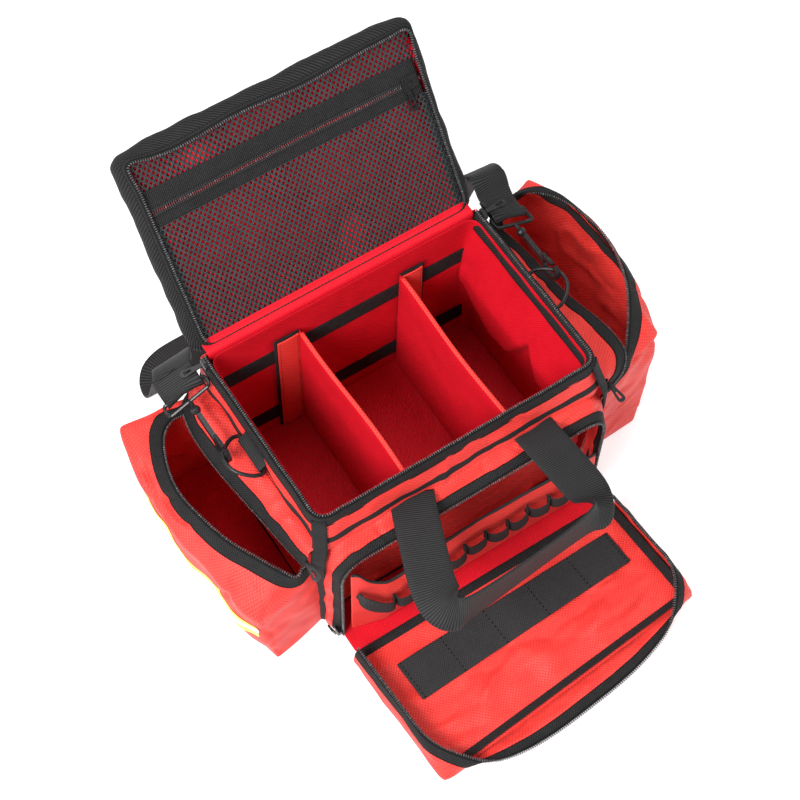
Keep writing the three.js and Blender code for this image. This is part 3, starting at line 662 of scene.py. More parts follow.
def strap_line(name, line, across, width, material):
    """A narrow tape along a finished line."""
    deep, half = 0.6, width / 2
    section = [(half - 0.4, deep), (-half + 0.4, deep), (-half, 0), (-half + 0.4, -deep), (half - 0.4, -deep),
               (half, 0)]
    return sweep(name, line, np.broadcast_to(np.array(across, float), line.shape), section, material)


def divider_tab(name, board_x, tab_side, y, bottom, top):
    """The hook-backed tab folded along the rear wall, stitched all round."""
    inner, outer = board_x + tab_side * 2, board_x + tab_side * 33
    x, z = spread((inner, outer), (bottom + 3, top + 1.5), 10, 44)
    swell = 0.9 * np.sin(np.clip((x - inner) / (outer - inner), 0, 1) * math.pi)
    hook = np.stack([x, np.full_like(x, y), z], axis=-1)
    place(sheet(f"{name}_hook_tape", hook, LOOP_TAPE, 1.2, smooth=False), name, "black_binding")
    face_end = outer - tab_side * 3
    inset_x = np.clip(x, min(inner, face_end), max(inner, face_end))
    face = np.stack([inset_x, y - 1.6 - swell, np.minimum(z, top - 2)], axis=-1)
    face = face if tab_side < 0 else face[:, ::-1]
    place(sheet(f"{name}_tab", face, RED, 1.6), name, "red_lining")
    edge_x, far_x = inner + tab_side * 3, outer - tab_side * 5.5
    front = y - 2.9
    loop = rounded([(edge_x, front, bottom + 8), (edge_x, front, top - 5), (far_x, front, top - 5),
                    (far_x, front, bottom + 8), (edge_x, front, bottom + 8)], 2, 160)
    stitches = beads(f"{name}_stitches", [(loop, (0, -1, 0))], 3.2, (2.3, 0.6, 0.6), THREAD)
    place(stitches, name, "black_binding")


# ---------------------------------------------------------------- lid

def in_lid(points):
    """Points given as x, distance from the hinge and depth behind the lid's mouth, on the leaning lid."""
    points = np.asarray(points, float)
    x, s, h = points[..., 0], points[..., 1], points[..., 2]
    y = DEEP - s * math.cos(LID_LEAN) + h * math.sin(LID_LEAN)
    z = RIM + s * math.sin(LID_LEAN) + h * math.cos(LID_LEAN)
    return np.stack([x, y, z], axis=-1)


def loop_outline(inset, radius, straight=(46, 30), turn=7):
    """The lid's outline as x and s, anticlockwise from its near right corner, drawn in by inset."""
    x, low, high = WIDE - inset, 1 + inset, LID_LONG - inset
    centres = [((x - radius, low + radius), -90), ((x - radius, high - radius), 0),
               ((-x + radius, high - radius), 90), ((-x + radius, low + radius), 180)]
    arcs = [arc(centre, radius, start, start + 90, turn) for centre, start in centres]
    points = []
    for k, bend in enumerate(arcs):
        following = arcs[(k + 1) % 4][0]
        t = np.linspace(0, 1, straight[(k + 1) % 2] + 2)[1:-1, None]
        points += [bend, bend[-1] + (following - bend[-1]) * t]
    return np.vstack(points)


def far_pull(x):
    """How far the lid's zip edge draws in along its far side: little at the corners, most in between."""
    return 11 * (1 - (np.abs(x) / WIDE)**8) + 2.0 * np.sin(x / 24)


def side_pull(s):
    """How far it draws in at both ends."""
    return 5.5 * np.clip((LID_LONG - s) / 40, 0, 1)


def lid_bow(outline, share):
    """The zip edge pulls in: towards the hinge along the far side, and in from both ends."""
    x, s = outline[:, 0].copy(), outline[:, 1].copy()
    far = np.clip((s - LID_LONG * 0.55) / (LID_LONG * 0.45), 0, 1)**2
    pulled_x = x - share * np.sign(x) * side_pull(s) * (np.abs(x) / WIDE)**6
    shrink = 5 + 4 * (np.abs(x) / WIDE)**8
    return np.column_stack([pulled_x, s - far * (shrink * (1 - share) + share * (far_pull(x) + 1))])


def lid_shell():
    """The lid's band of twill, from its outer panel down to the zip."""
    rows = []
    for depth, inset, bow in ((30.5, 2.5, 0), (28, -1.5, 0), (22, -4.0, 0.04), (15, -4.2, 0.15),
                              (9, -2.0, 0.4), (5, 0.5, 0.68), (2, 2.6, 0.88), (0, 4.4, 1.0)):
        outline = lid_bow(loop_outline(inset, 14), bow)
        rows.append(np.column_stack([outline, np.full(len(outline), depth)]))
    flat = np.array(rows)
    grid = in_lid(flat)
    x, s = flat[0, :, 0], flat[0, :, 1]
    wave = 2.4 * noise_field(x, s, (26, 26), 2.0) + noise_field(x, s, (9, 9), 5.0)
    grid[1:5] += normals(grid)[1:5] * wave[None, :, None]
    place(sheet("lid_band", grid, TWILL, 1.6, ring=True), "lid", "black_binding", "lid_gusset")
    rim = grid[:, loop_outline(3, 14)[:, 1] > 10]
    mouth = in_lid([0, 0, -1]) - in_lid([0, 0, 0])
    zip_edge("lid_zip", rim, "lid", "lid_zip_track", tape=7, ups=mouth)


def lid_panel():
    """The lid's outside: its edge rounds over into the band, and one flat face closes the middle."""
    rows = []
    for inset, depth in ((3.5, 29.5), (6, 32), (9, 33), (24, 35), (50, 36.5), (75, 37), (85, 37)):
        outline = lid_bow(loop_outline(inset, max(0.0, 14 - inset * 0.15)), 0)
        rows.append(np.column_stack([outline, np.full(len(outline), depth)]))
    flat = np.array(rows)
    flat = np.concatenate([flat, flat[:, :1]], axis=1)
    row_count, columns = flat.shape[:2]
    faces = grid_faces(row_count, columns).tolist()
    last = (row_count - 1) * columns
    faces.append(list(range(last, last + columns - 1)))
    across_and_up = flat[..., :2].reshape(-1, 2)
    piece = mesh_piece("lid_outer_panel", in_lid(flat).reshape(-1, 3), faces, RED, across_and_up, merge=True)
    thicken(piece, CLOTH)
    place(piece, "lid", "red_fabric", "lid_panel")


def inside_zip(x, s, margin):
    """True where a point of the lid's plane lies inside the drawn-in zip edge, less a margin."""
    far = LID_LONG - 4.4 - far_pull(x) - margin
    side = WIDE - 4.4 - side_pull(s) - margin
    return 8 < s < far and abs(x) < side


def net_level(x, s):
    """Depth of the netting, which hangs slack between its edges."""
    slack = 1.8 * noise_field(x, s, (60, 45), 4.0) + 1.2 * noise_field(x, s, (24, 30), 14.0)
    return 6.5 + slack - 1.2 * np.sin(math.pi * s / LID_LONG)


def netting(name, s_low, s_high, node_name):
    """A net of real cells with oval holes, in staggered rows."""
    pitch, row_pitch = 6.5, 4.2
    hole = (1.75, 2.05)
    flank = 0.9
    peak = row_pitch - flank
    cell = np.array([(pitch / 2, -flank), (pitch / 2, flank), (0, peak), (-pitch / 2, flank),
                     (-pitch / 2, -flank), (0, -peak)])
    outer = np.vstack([[a, (a + b) / 2] for a, b in zip(cell, np.roll(cell, -1, axis=0))]).reshape(-1, 2)
    angles = np.arctan2(outer[:, 1] / peak, outer[:, 0] / (pitch / 2))
    inner = np.column_stack([hole[0] * np.cos(angles), hole[1] * np.sin(angles)])
    points, faces = [], []
    for row in range(int((s_high - s_low) / row_pitch) + 1):
        for column in range(-28, 29):
            x = column * pitch + (row % 2) * pitch / 2
            s = s_low + row * row_pitch
            if not inside_zip(x, s, 1.5):
                continue
            base = len(points)
            for ring in (outer, inner):
                points += [(x + a, s + b, 0) for a, b in ring]
            faces += [(base + k, base + (k + 1) % 12, base + 12 + (k + 1) % 12, base + 12 + k)
                      for k in range(12)]
    flat = np.array(points)
    flat[:, 2] = net_level(flat[:, 0], flat[:, 1])
    net = mesh_piece(name, in_lid(flat), faces, NETTING, flat[:, :2], merge=True)
    thicken(net, 0.6)
    place(net, "lid", "black_mesh", node_name)


def along_lid(point):
    """How far up the leaning lid a point lies from its hinge."""
    return -(point[1] - DEEP) * math.cos(LID_LEAN) + (point[2] - RIM) * math.sin(LID_LEAN)


def lid_patch(name, x, s, level, material, thick=1.2, columns=60, rows=6, nodes=()):
    """A flat strip on the lid between two ends and two distances from the hinge."""
    across, along = spread(x, s, columns, rows)
    grid = in_lid(np.stack([across, along, net_level(across, along) + level], axis=-1))
    place(sheet(name, grid, material, thick), "lid", "black_binding", *nodes)


def mesh_pocket_zip():
    """The zip across the lid's mesh pocket: a tape on each side, folded along the coil."""
    near, far = (along_lid(corner) for corner in corners("lid_pocket_zip"))
    middle = near + 17
    half = WIDE - 12
    lid_patch("lid_pocket_lower_tape", (-half, half), (near, middle - 2.2), -0.6, TAPE_CLOTH,
              nodes=("lid_pocket_zip",))
    lid_patch("lid_pocket_upper_tape", (-half, half), (middle + 2.2, far), -0.6, TAPE_CLOTH)
    for name, at in (("lower", middle - 3.0), ("upper", middle + 3.0)):
        lid_patch(f"lid_pocket_{name}_fold", (-half, half), (at - 1.4, at + 1.4), -2.0, WEBBING, 1.0, rows=3)
    x = np.linspace(-half, half, 90)
    runs = []
    for shift in (-0.9, 0.9):
        flat = np.column_stack([x, np.full(90, middle + shift), net_level(x, middle) - 1.4])
        runs.append((in_lid(flat), in_lid([0, 0, -1]) - in_lid([0, 0, 0])))
    place(beads("lid_pocket_teeth", runs, 2.4, (1.5, 2.0, 2.2), COIL), "lid", "black_zip")
    lid_patch("lid_pocket_zip_garage", (half - 22, half - 2), (middle - 8, middle + 8), -2.6, TAPE_CLOTH, 1.0,
              columns=12)
    for name, x0, x1 in (("left", -half - 4, -half + 5), ("right", half - 5, half + 4)):
        lid_patch(f"lid_mesh_{name}_binding", (x0, x1), (10, near), 0.4, TAPE_CLOTH, 1.2, columns=4, rows=40)


def lid_lining():
    """Red liner behind the netting, close to it near the hinge."""
    across, along = spread((-WIDE + 5, WIDE - 5), (6, LID_LONG - 6), 80, 54)
    slack = 0.5 + 0.9 * noise_field(across, along, (60, 42), 9.0)
    depth = 9 + 7 * np.minimum(along / 110, 1) * slack
    grid = in_lid(np.stack([across, along, depth], axis=-1))
    place(sheet("lid_liner_cloth", grid, SHADED_LINING, 1.0), "lid", "red_lining", "lid_liner")


def lid_hinge_cloth():
    """Fabric hinge inside and out, between the compartment and the lid, fixed where it lies."""
    x = np.linspace(-WIDE + 6, WIDE - 6, 60)
    inside = [(DEEP - WALL + 0.6, RIM - 10), (DEEP - WALL + 1, RIM - 1), (DEEP - 1.5, RIM + 2.5)]
    inside += [tuple(in_lid([0, s, h])[1:]) for s, h in ((6, 3), (12, 4.5))]
    outside = [(DEEP + 0.4, RIM - 16), (DEEP + 0.6, RIM - 6), (DEEP + 0.8, RIM)]
    outside += [tuple(in_lid([0, s, h])[1:]) for s, h in ((-0.2, 2), (-0.4, 10))]
    bend = ("root", "lid", (0, DEEP - 4, RIM - 5), (0, DEEP + 2, RIM + 5))
    for name, section, material, slot in (("hinge_lining", inside, SHADED_LINING, "red_lining"),
                                          ("hinge_cover", outside, TAPE_CLOTH, "black_binding")):
        line = spline([(0, y, z) for y, z in section], 14)
        grid = np.array([np.column_stack([x, np.full(60, y), np.full(60, z)]) for _, y, z in line])
        place(sheet(name, grid, material, 1.2), bend, slot)


# ---------------------------------------------------------------- front pocket

def pocket_row(y, half, top):
    """The pocket's arch at one distance from the compartment."""
    bottom, radius = 2, 34
    return rounded([(-half, y, bottom), (-half, y, top), (half, y, top), (half, y, bottom)], radius, 190)


def front_pocket():
    """The pocket's fixed half: a puffed gusset from the wall out to its zip."""
    rows = []
    for t in np.linspace(0, 1, 22):
        y = np.interp(t, [0, 0.3, 1], [-DEEP - 4, -DEEP - 14, POCKET_ZIP_Y])
        half = np.interp(t, [0, 0.35, 1], [WIDE + 1, WIDE + 2, POCKET_WIDE - 3])
        top = np.interp(t, [0, 0.3, 1], [192, 189, POCKET_TOP - 1])
        rows.append(pocket_row(y, half, top))
    grid = folds(np.array(rows), 4.4, (34, 18), 21, pin=14)
    grid = wrinkles(grid, 4.0, (46, 24), 23, pin=18)
    place(sheet("front_pocket_cloth", grid, RED), "root", "red_fabric", "front_pocket_gusset")
    zip_edge("front_pocket_zip", grid, "root", "front_pocket_zip_track", tape=13)


def front_pocket_floor():
    """Floor of the front pocket, running on over the fold into the flap."""
    grid = level_grid((-POCKET_WIDE + 3, POCKET_WIDE - 3), (-DEEP - 2, FOLD_Y + 6), 2.2, 60, 16)
    place(sheet("front_pocket_floor_cloth", grid, SHADED_LINING, 1.2), "root", "red_fabric", "front_pocket_floor")
    across, along = spread((-POCKET_WIDE + 2, POCKET_WIDE - 2), (FOLD_Y + 6, FOLD_Y - 6), 60, 8)
    fold = np.stack([across, along, 2.8 + 1.6 * np.cos((along - FOLD_Y) / 6 * math.pi / 2)], axis=-1)
    place(sheet("flap_fold_tape", fold, TAPE_CLOTH, 1.6),
          ("root", "flap", (0, FOLD_Y + 8, 3), (0, FOLD_Y - 8, 3)), "black_binding")


# Along X: the organiser's bound edge, and how far its face stands in front of the compartment.
ORGANISER_TOP = [(-158, 150), (-150, 146), (-138, 122), (-120, 106), (-98, 101), (-60, 108), (-20, 112),
                 (40, 110), (100, 106), (160, 103)]
ORGANISER_FRONT = [(-158, 150), (-120, 160), (-60, 157), (0, 155), (160, 155)]


def organiser_crest(x):
    top = np.array(ORGANISER_TOP, float)
    return np.interp(x, *spline(np.column_stack([top, np.zeros(len(top))]), 80)[:, :2].T)


def organiser_face(x, share):
    """Y of the organiser's panel: share runs from its foot to its bound edge."""
    front = np.array(ORGANISER_FRONT, float)
    lobe = 6 * np.exp(-((x + 108) / 24)**2) + 3.5 * np.sin((x + 70) / 22)**2 * (x > -70)
    return -np.interp(x, front[:, 0], front[:, 1]) - lobe * np.sin(np.pi * np.clip(share, 0, 1)**0.8)


def organiser():
    """Inner organiser: a full panel with a bound, dipping edge, and elastic sewn on in loops."""
    x = np.linspace(-158, 160, 110)
    crest = organiser_crest(x)
    rows = [np.column_stack([x, organiser_face(x, t), 4 + (crest - 4) * t]) for t in np.linspace(0, 1, 34)]
    grid = folds(np.array(rows), 1.2, (40, 34), 27, pin=8)
    place(sheet("organiser_cloth", grid, RED), "root", "red_lining", "organiser_panel")
    seam_tape("organiser_binding", grid, -0.5, 5.5, "root", material=ELASTIC)
    elastic_loops()


LOOP_REACH = 12                             # how far each elastic loop stands out from the panel


def elastic_loops():
    """Elastic standing in waves in front of the panel, sewn to it between one wave and the next."""
    stations = []
    starts = np.array([-152, -114, -76, -46, -18, 10, 38, 66, 94, 122, 152])
    for start, end in zip(starts, starts[1:]):
        for share in np.linspace(0, 1, 10)[:-1]:
            out = math.sin(math.pi * share)**0.6
            at = start + (end - start) * (share - 0.10 * math.sin(2 * math.pi * share))
            height = float(organiser_crest(at)) * 0.66
            y = float(organiser_face(np.array(at), 0.7)) - 2.0 - LOOP_REACH * out
            stations.append(((at, y, height - 2 * out), (0.0, 0.15, 1.0)))
    loops = strap("elastic_loops", stations, 17, ELASTIC, 1.3, 2)
    place(loops, "root", "black_webbing", "organiser_elastic_loops")


# ---------------------------------------------------------------- flap

FLAP_EDGE = POCKET_WIDE + 4


def flap_row(half, far, z, flop, drop, radius):
    """A U across the flap at a height. The far run can flop outwards and down in its middle."""
    near = FOLD_Y - 2
    line = rounded([(-half, near, z), (-half, far, z), (half, far, z), (half, near, z)], radius, 200)
    share = np.clip((near - line[:, 1]) / (near - far), 0, 1)**10 * (1 - np.abs(line[:, 0] / half)**3)
    line[:, 1] -= share * flop
    line[:, 2] -= share * drop
    return line


def flap_skew(grid):
    """The open flap lies a little askew: its far side swings right, and is shorter at its right end."""
    away = np.clip((FOLD_Y - grid[..., 1]) / (FOLD_Y - FLAP_FAR_Y), 0, 1.2)
    rightness = (grid[..., 0] + FLAP_EDGE) / (2 * FLAP_EDGE)
    skewed = grid.copy()
    skewed[..., 0] += 8 * away
    skewed[..., 1] += 26 * away * rightness
    return skewed


def flap():
    floor_z = corners("flap_panel")[1][2]
    floor = level_grid((-FLAP_EDGE, FLAP_EDGE), (FOLD_Y - 4, FLAP_FAR_Y), floor_z - 0.6, 110, 66)[:, ::-1]
    floor = folds(floor, 8.0, (70, 36), 31, pin=40)
    floor = wrinkles(floor, 6.0, (90, 60), 33, pin=40, sharp=0.8)
    floor[..., 2] = np.maximum(floor[..., 2], floor_z - 2.2)
    low, high = corners("flap_elastic_strip")
    under_elastic = ((floor[..., 0] > low[0] - 5) & (floor[..., 0] < high[0] + 5)
                     & (floor[..., 1] > low[1] - 5) & (floor[..., 1] < high[1] + 5))
    floor[..., 2] = np.where(under_elastic, np.minimum(floor[..., 2], floor_z + 0.8), floor[..., 2])
    floor = flap_skew(floor)
    place(sheet("flap_cloth", floor, RED), "flap", "red_fabric", "flap_panel")
    rows = [flap_row(FLAP_EDGE - 5, FLAP_FAR_Y + 5, floor_z - 0.8, 0, 0, 4),
            flap_row(FLAP_EDGE, FLAP_FAR_Y, 1.5, 0, 0, 5),
            flap_row(FLAP_EDGE + 1, FLAP_FAR_Y - 1, 8, 3, 1, 12),
            flap_row(FLAP_EDGE, FLAP_FAR_Y + 1, 17, 15, 6, 26),
            flap_row(FLAP_EDGE - 2, FLAP_FAR_Y + 3, 26, 28, 15, 40),
            flap_row(FLAP_EDGE - 5, FLAP_FAR_Y + 6, 33, 40, 24, 54)]
    coarse = np.array(rows)
    fine = np.stack([spline(coarse[:, k], 18) for k in range(coarse.shape[1])], axis=1)
    walls = flap_skew(folds(fine, 2.4, (36, 18), 41, pin=6))
    place(sheet("flap_walls", walls, RED), "flap", "red_fabric", "flap_gusset")
    zip_edge("flap_zip", walls, "flap", "flap_zip_track", tape=13)
    flap_bindings(floor_z)
    flap_elastic(floor_z)


def flap_bindings(floor_z):
    """Bound seam where the flap's floor meets its walls."""
    line = flap_row(FLAP_EDGE - 8, FLAP_FAR_Y + 8, floor_z + 2, 0, 0, 4)
    out = np.cross((0, 0, 1), tangents(line)) * -1
    profile = [(6, 5.0), (2.5, 2.5), (-1.5, 1.0), (-4, 0.4)]
    grid = flap_skew(np.array([line + out * outward + np.array([0, 0, 1]) * up for outward, up in profile]))
    place(sheet("flap_seam_binding", grid, TAPE_CLOTH, 1.8), "flap", "black_binding")


def flap_elastic(floor_z):
    """Elastic strip sewn flat across the flap in five bays, with stitches at each end and between."""
    low, high = corners("flap_elastic_strip")
    across, along = spread((low[0], high[0]), (low[1], high[1]), 80, 16)
    bays = 5
    z = floor_z + 2.6 + 0.9 * np.sin((across - low[0]) / (high[0] - low[0]) * bays * math.pi)**2
    grid = flap_skew(np.stack([across, along, z], axis=-1))
    place(sheet("flap_elastic", grid, ELASTIC, 1.3), "flap", "black_webbing", "flap_elastic_strip")
    runs = []
    for x in [low[0] + 4, *np.linspace(low[0], high[0], bays + 1)[1:-1], high[0] - 4]:
        y = np.linspace(low[1] + 2, high[1] - 2, 20)
        column = flap_skew(np.column_stack([np.full(20, x), y, np.full(20, floor_z + 3.6)]))
        runs.append((column, (0, 0, 1)))
    place(beads("flap_elastic_stitches", runs, 4.4, (3.0, 1.5, 1.2), THREAD), "flap", "black_webbing")


def runs_between(points, bends, counts, sharp):
    """An outline as evenly spaced runs between its bends, so that bends line up from row to row.
    A sharp outline turns a corner at each bend; otherwise one smooth curve passes through them all."""
    p = np.array(points, float)
    stops = [0, *bends, len(p) - 1]
    if sharp:
        pieces = [spline(p[first:last + 1], 40) for first, last in zip(stops, stops[1:])]
    else:
        fine = spline(p, 400)
        at = [int(np.argmin(np.linalg.norm(fine - p[stop], axis=1))) for stop in stops]
        pieces = [fine[first:last + 1] for first, last in zip(at, at[1:])]
    runs = [resample(piece, count + 1)[:-1] for piece, count in zip(pieces, counts)]
    return np.vstack([*runs, pieces[-1][-1:]])


# ---------------------------------------------------------------- side pockets

# Outlines of each pocket at four levels, as (outwards, y, z), from the front wall seam round to the rear one,
# and which points of each are its two corners. The mouth's fixed side follows the inner line.
SIDE_SHAPES = {
    "left": {
        "floor": [(177, -121, 2), (215, -130, 2), (244, -135, 2), (252, -90, 2), (254, 0, 2), (250, 80, 2),
                  (240, 116, 2), (210, 116, 2), (177, 113, 2)],
        "middle": [(177, -124, 66), (222, -130, 64), (254, -132, 62), (272, -90, 74), (280, 0, 80),
                   (278, 80, 84), (262, 120, 88), (222, 118, 88), (177, 113, 88)],
        "fold": [(178, -122, 134), (215, -130, 127), (259, -133, 122), (275, -84, 134), (285, -10, 146),
                 (288, 56, 154), (276, 124, 162), (225, 119, 166), (178, 110, 170)],
        "edge": [(198, -121, 162), (208, -124, 158), (220, -106, 159), (234, -80, 162), (247, -54, 164),
                 (257, -18, 165), (263, 20, 166), (258, 55, 165), (244, 88, 163), (226, 103, 161),
                 (209, 101, 163)],
        "inner": [(196, -122, 166), (200, -98, 167), (205, -58, 167), (210, -20, 167), (215, 25, 167),
                  (216, 68, 166), (211, 100, 165), (203, 114, 165)],
        "bends": {"floor": (2, 6), "middle": (2, 6), "fold": (2, 6), "edge": (2, 8)},
        "banded": True,
    },
    "right": {
        "floor": [(177, -112, 2), (215, -110, 2), (262, -108, 2), (268, -60, 2), (268, 20, 2), (262, 90, 2),
                  (250, 122, 2), (215, 118, 2), (177, 113, 2)],
        "middle": [(177, -118, 76), (225, -108, 78), (278, -98, 80), (288, -40, 84), (290, 30, 86),
                   (284, 100, 88), (266, 138, 90), (222, 126, 90), (177, 113, 90)],
        "fold": [(178, -120, 140), (235, -108, 143), (291, -88, 148), (300, -30, 156), (303, 40, 164),
                 (293, 108, 170), (273, 149, 175), (225, 131, 174), (178, 112, 170)],
        "edge": [(196, -120, 161), (216, -112, 162), (238, -92, 164), (266, -58, 172), (287, -22, 178),
                 (299, 22, 180), (297, 70, 181), (280, 112, 182), (250, 133, 182), (222, 126, 180),
                 (207, 104, 178)],
        "inner": [(194, -120, 163), (218, -112, 168), (232, -95, 172), (234, -72, 174), (230, -46, 175),
                  (221, -8, 175), (217, 32, 175), (214, 64, 176), (208, 100, 177), (202, 116, 176)],
        "bends": {"floor": (2, 6), "middle": (2, 6), "fold": (2, 6), "edge": (3, 7)},
        "banded": False,
    },
}


FOLD_ROW = 33                               # where a side pocket's panel folds into its top strip


def on_side(side, line):
    """A line given with x outwards, on the side +1 or -1."""
    line = np.array(line, float)
    line[:, 0] *= side
    return line


def side_bend(name, side):
    """Bodies and ends for a side pocket's cloth, from the compartment to the outer panel's hinge; place keeps
    the cloth fixed where it lies.
    """
    return ("root", f"{name}_pocket_outer", (side * 184, 0, 100), (side * 244, 0, 100))


def side_pocket(name, side):
    """A side pocket: bottom, standing panel and top strip in one cloth, up to the zip round its mouth."""
    shape = SIDE_SHAPES[name]
    counts = (20, 60, 22)
    coarse = np.array([runs_between(shape[level], shape["bends"][level], counts, level != "edge")
                       for level in ("floor", "middle", "fold", "edge")])
    columns = coarse.shape[1]
    lower = np.stack([spline(coarse[:3, k], FOLD_ROW + 1) for k in range(columns)], axis=1)
    t = np.linspace(0, 1, 16)[1:, None, None]
    upper = coarse[2] + (coarse[3] - coarse[2]) * t
    upper[..., 2] += 4 * np.sin(t[..., 0] * math.pi)
    grid = np.concatenate([lower, upper])
    grid[..., 0] *= side
    if side > 0:
        grid = grid[:, ::-1]
    grid = folds(grid, 5.6, (56, 44), 50 + side, pin=18)
    grid = wrinkles(grid, 6.0, (70, 54), 60 + side, pin=22)
    bend = side_bend(name, side)
    cloth = sheet(f"{name}_pocket_cloth", grid, RED)
    place(cloth, bend, "red_fabric", f"{name}_pocket_outer_panel", f"{name}_pocket_gusset",
          f"{name}_pocket_top_strip")
    zip_edge(f"{name}_pocket_zip", grid, bend, tape=16)
    side_floor(name, side, grid[0], bend)
    side_inner_lip(name, side, shape["inner"])
    if shape["banded"]:
        reflective_band(name, grid, bend, slice(counts[0] + 1, counts[0] + counts[1] + 4))
    bound_seam(name, grid, bend)


def side_floor(name, side, outline, bend):
    """The pocket's bottom, from its outline in to the compartment."""
    foot = outline.copy()
    foot[:, 0] = side * (WIDE + 1)
    foot[:, 1] = np.clip(foot[:, 1], -DEEP, DEEP)
    t = np.linspace(0, 1, 14)[:, None, None]
    grid = outline + (foot - outline) * t
    grid[..., 2] = 2.2
    place(sheet(f"{name}_pocket_floor", grid, SHADED_LINING, 1.4), bend, "red_lining")


def bound_seam(name, grid, bend):
    """Taped seam inside the pocket, where the outer panel meets the top strip."""
    near_fold = slice(FOLD_ROW - 2, FOLD_ROW + 3)
    inwards = grid[near_fold, 8:-8] + normals(grid)[near_fold, 8:-8] * 3.4
    place(sheet(f"{name}_pocket_inner_tape", inwards, TAPE_CLOTH, 1.4), bend, "black_binding")


def reflective_band(name, grid, bend, inner):
    """Reflective strip across the pocket's outer panel: yellow, silver, yellow."""
    low, wide = 74, (8, 14, 8)
    outwards = -normals(grid)[::-1, inner]
    lifted = grid[::-1, inner] + outwards * 1.3
    start = low
    for label, width, material in (("yellow_low", wide[0], YELLOW), ("silver", wide[1], SILVER),
                                   ("yellow_high", wide[2], YELLOW)):
        strip = band(lifted, start, width, 6)
        place(sheet(f"{name}_reflective_{label}", strip, material, 0.8), bend, "red_fabric")
        start += width


def side_inner_lip(name, side, inner):
    """The fixed side of the pocket's mouth: a puffed strip from the wall, then zip tape and teeth."""
    edge = on_side(side, spline(inner, 80))
    y = edge[:, 1]
    drop = np.clip((edge[:, 2].max() - edge[:, 2]) * 0.5, 0, 22)
    seam = np.column_stack([np.full(80, side * (WIDE + 4.5)), y, np.full(80, 194)])
    crown = np.column_stack([np.full(80, side * (WIDE + 15)), y, 192 - drop * 0.5])
    shoulder = np.column_stack([side * (WIDE + 3 + (np.abs(edge[:, 0]) - WIDE) * 0.62), y, 184 - drop])
    coarse = np.array([seam, crown, shoulder, edge])
    grid = np.stack([spline(coarse[:, k], 16) for k in range(80)], axis=1)
    if side > 0:
        grid = grid[:, ::-1]
    grid = folds(grid, 2.6, (34, 30), 70 + side, pin=5)
    grid = wrinkles(grid, 2.0, (50, 30), 75 + side, pin=5)
    place(sheet(f"{name}_pocket_lip", grid, RED), "root", "red_fabric", f"{name}_pocket_inner_lip")
    zip_edge(f"{name}_lip_zip", grid, "root", tape=18)


# ---------------------------------------------------------------- strap hardware

RING_TILT = 16.8                            # degrees, a D-ring resting on the cloth beside it
STRAP_SLOPE = 24                            # degrees, the strap's ends where they pass through their rings


def hardware(name, side):
    """The webbing tab on the rim and the D-ring it holds."""
    bar = corners(f"{name}_ring_tab")
    bar_x, _, bar_z = np.abs(pivot(f"{name}_d_ring_swing"))
    tab = [(176.6, 224), (178.5, 214), (183.5, 210.2), (187.0, 206), (184.6, 201.6), (180.6, 201.0),
           (177.5, 204), (176.8, 209)]
    stations = [((side * x, 0, z), (0, 1, 0)) for x, z in tab]
    place(strap(f"{name}_ring_tab_webbing", stations, bar[1][1] - bar[0][1], WEBBING, 2.0, 2), "root",
          "black_webbing", f"{name}_ring_tab")

    tilt = math.radians(RING_TILT)
    outline = [(0, 0.3), (0, 16), (1, 23), (6, 26.2), (14, 25), (24, 18.5), (31, 10), (33.5, 0)]
    outline += [(x, -y) for x, y in reversed(outline[:-1])]
    wire = [(side * (bar_x + u * math.cos(tilt)), v, bar_z + u * math.sin(tilt)) for u, v in outline]
    ring = f"{name}_d_ring"
    place(rod(f"{ring}_wire", wire, 2.2, METAL, 110), ring, "black_metal", ring)


def cad_metal():
    """Sliders, pullers, hooks and gates keep their CAD shapes, with softened edges."""
    for name, shown in frame["nodes"].items():
        if not name.endswith(("_slider", "_puller", "_hook", "_gate", "_strap_ring")):
            continue
        shown.data.materials.clear()
        shown.data.materials.append(METAL)
        soft = shown.modifiers.new("soft_edges", "BEVEL")
        soft.width = 0.5 * MM
        soft.segments = 2
        soft.limit_method = "ANGLE"


# ---------------------------------------------------------------- webbing

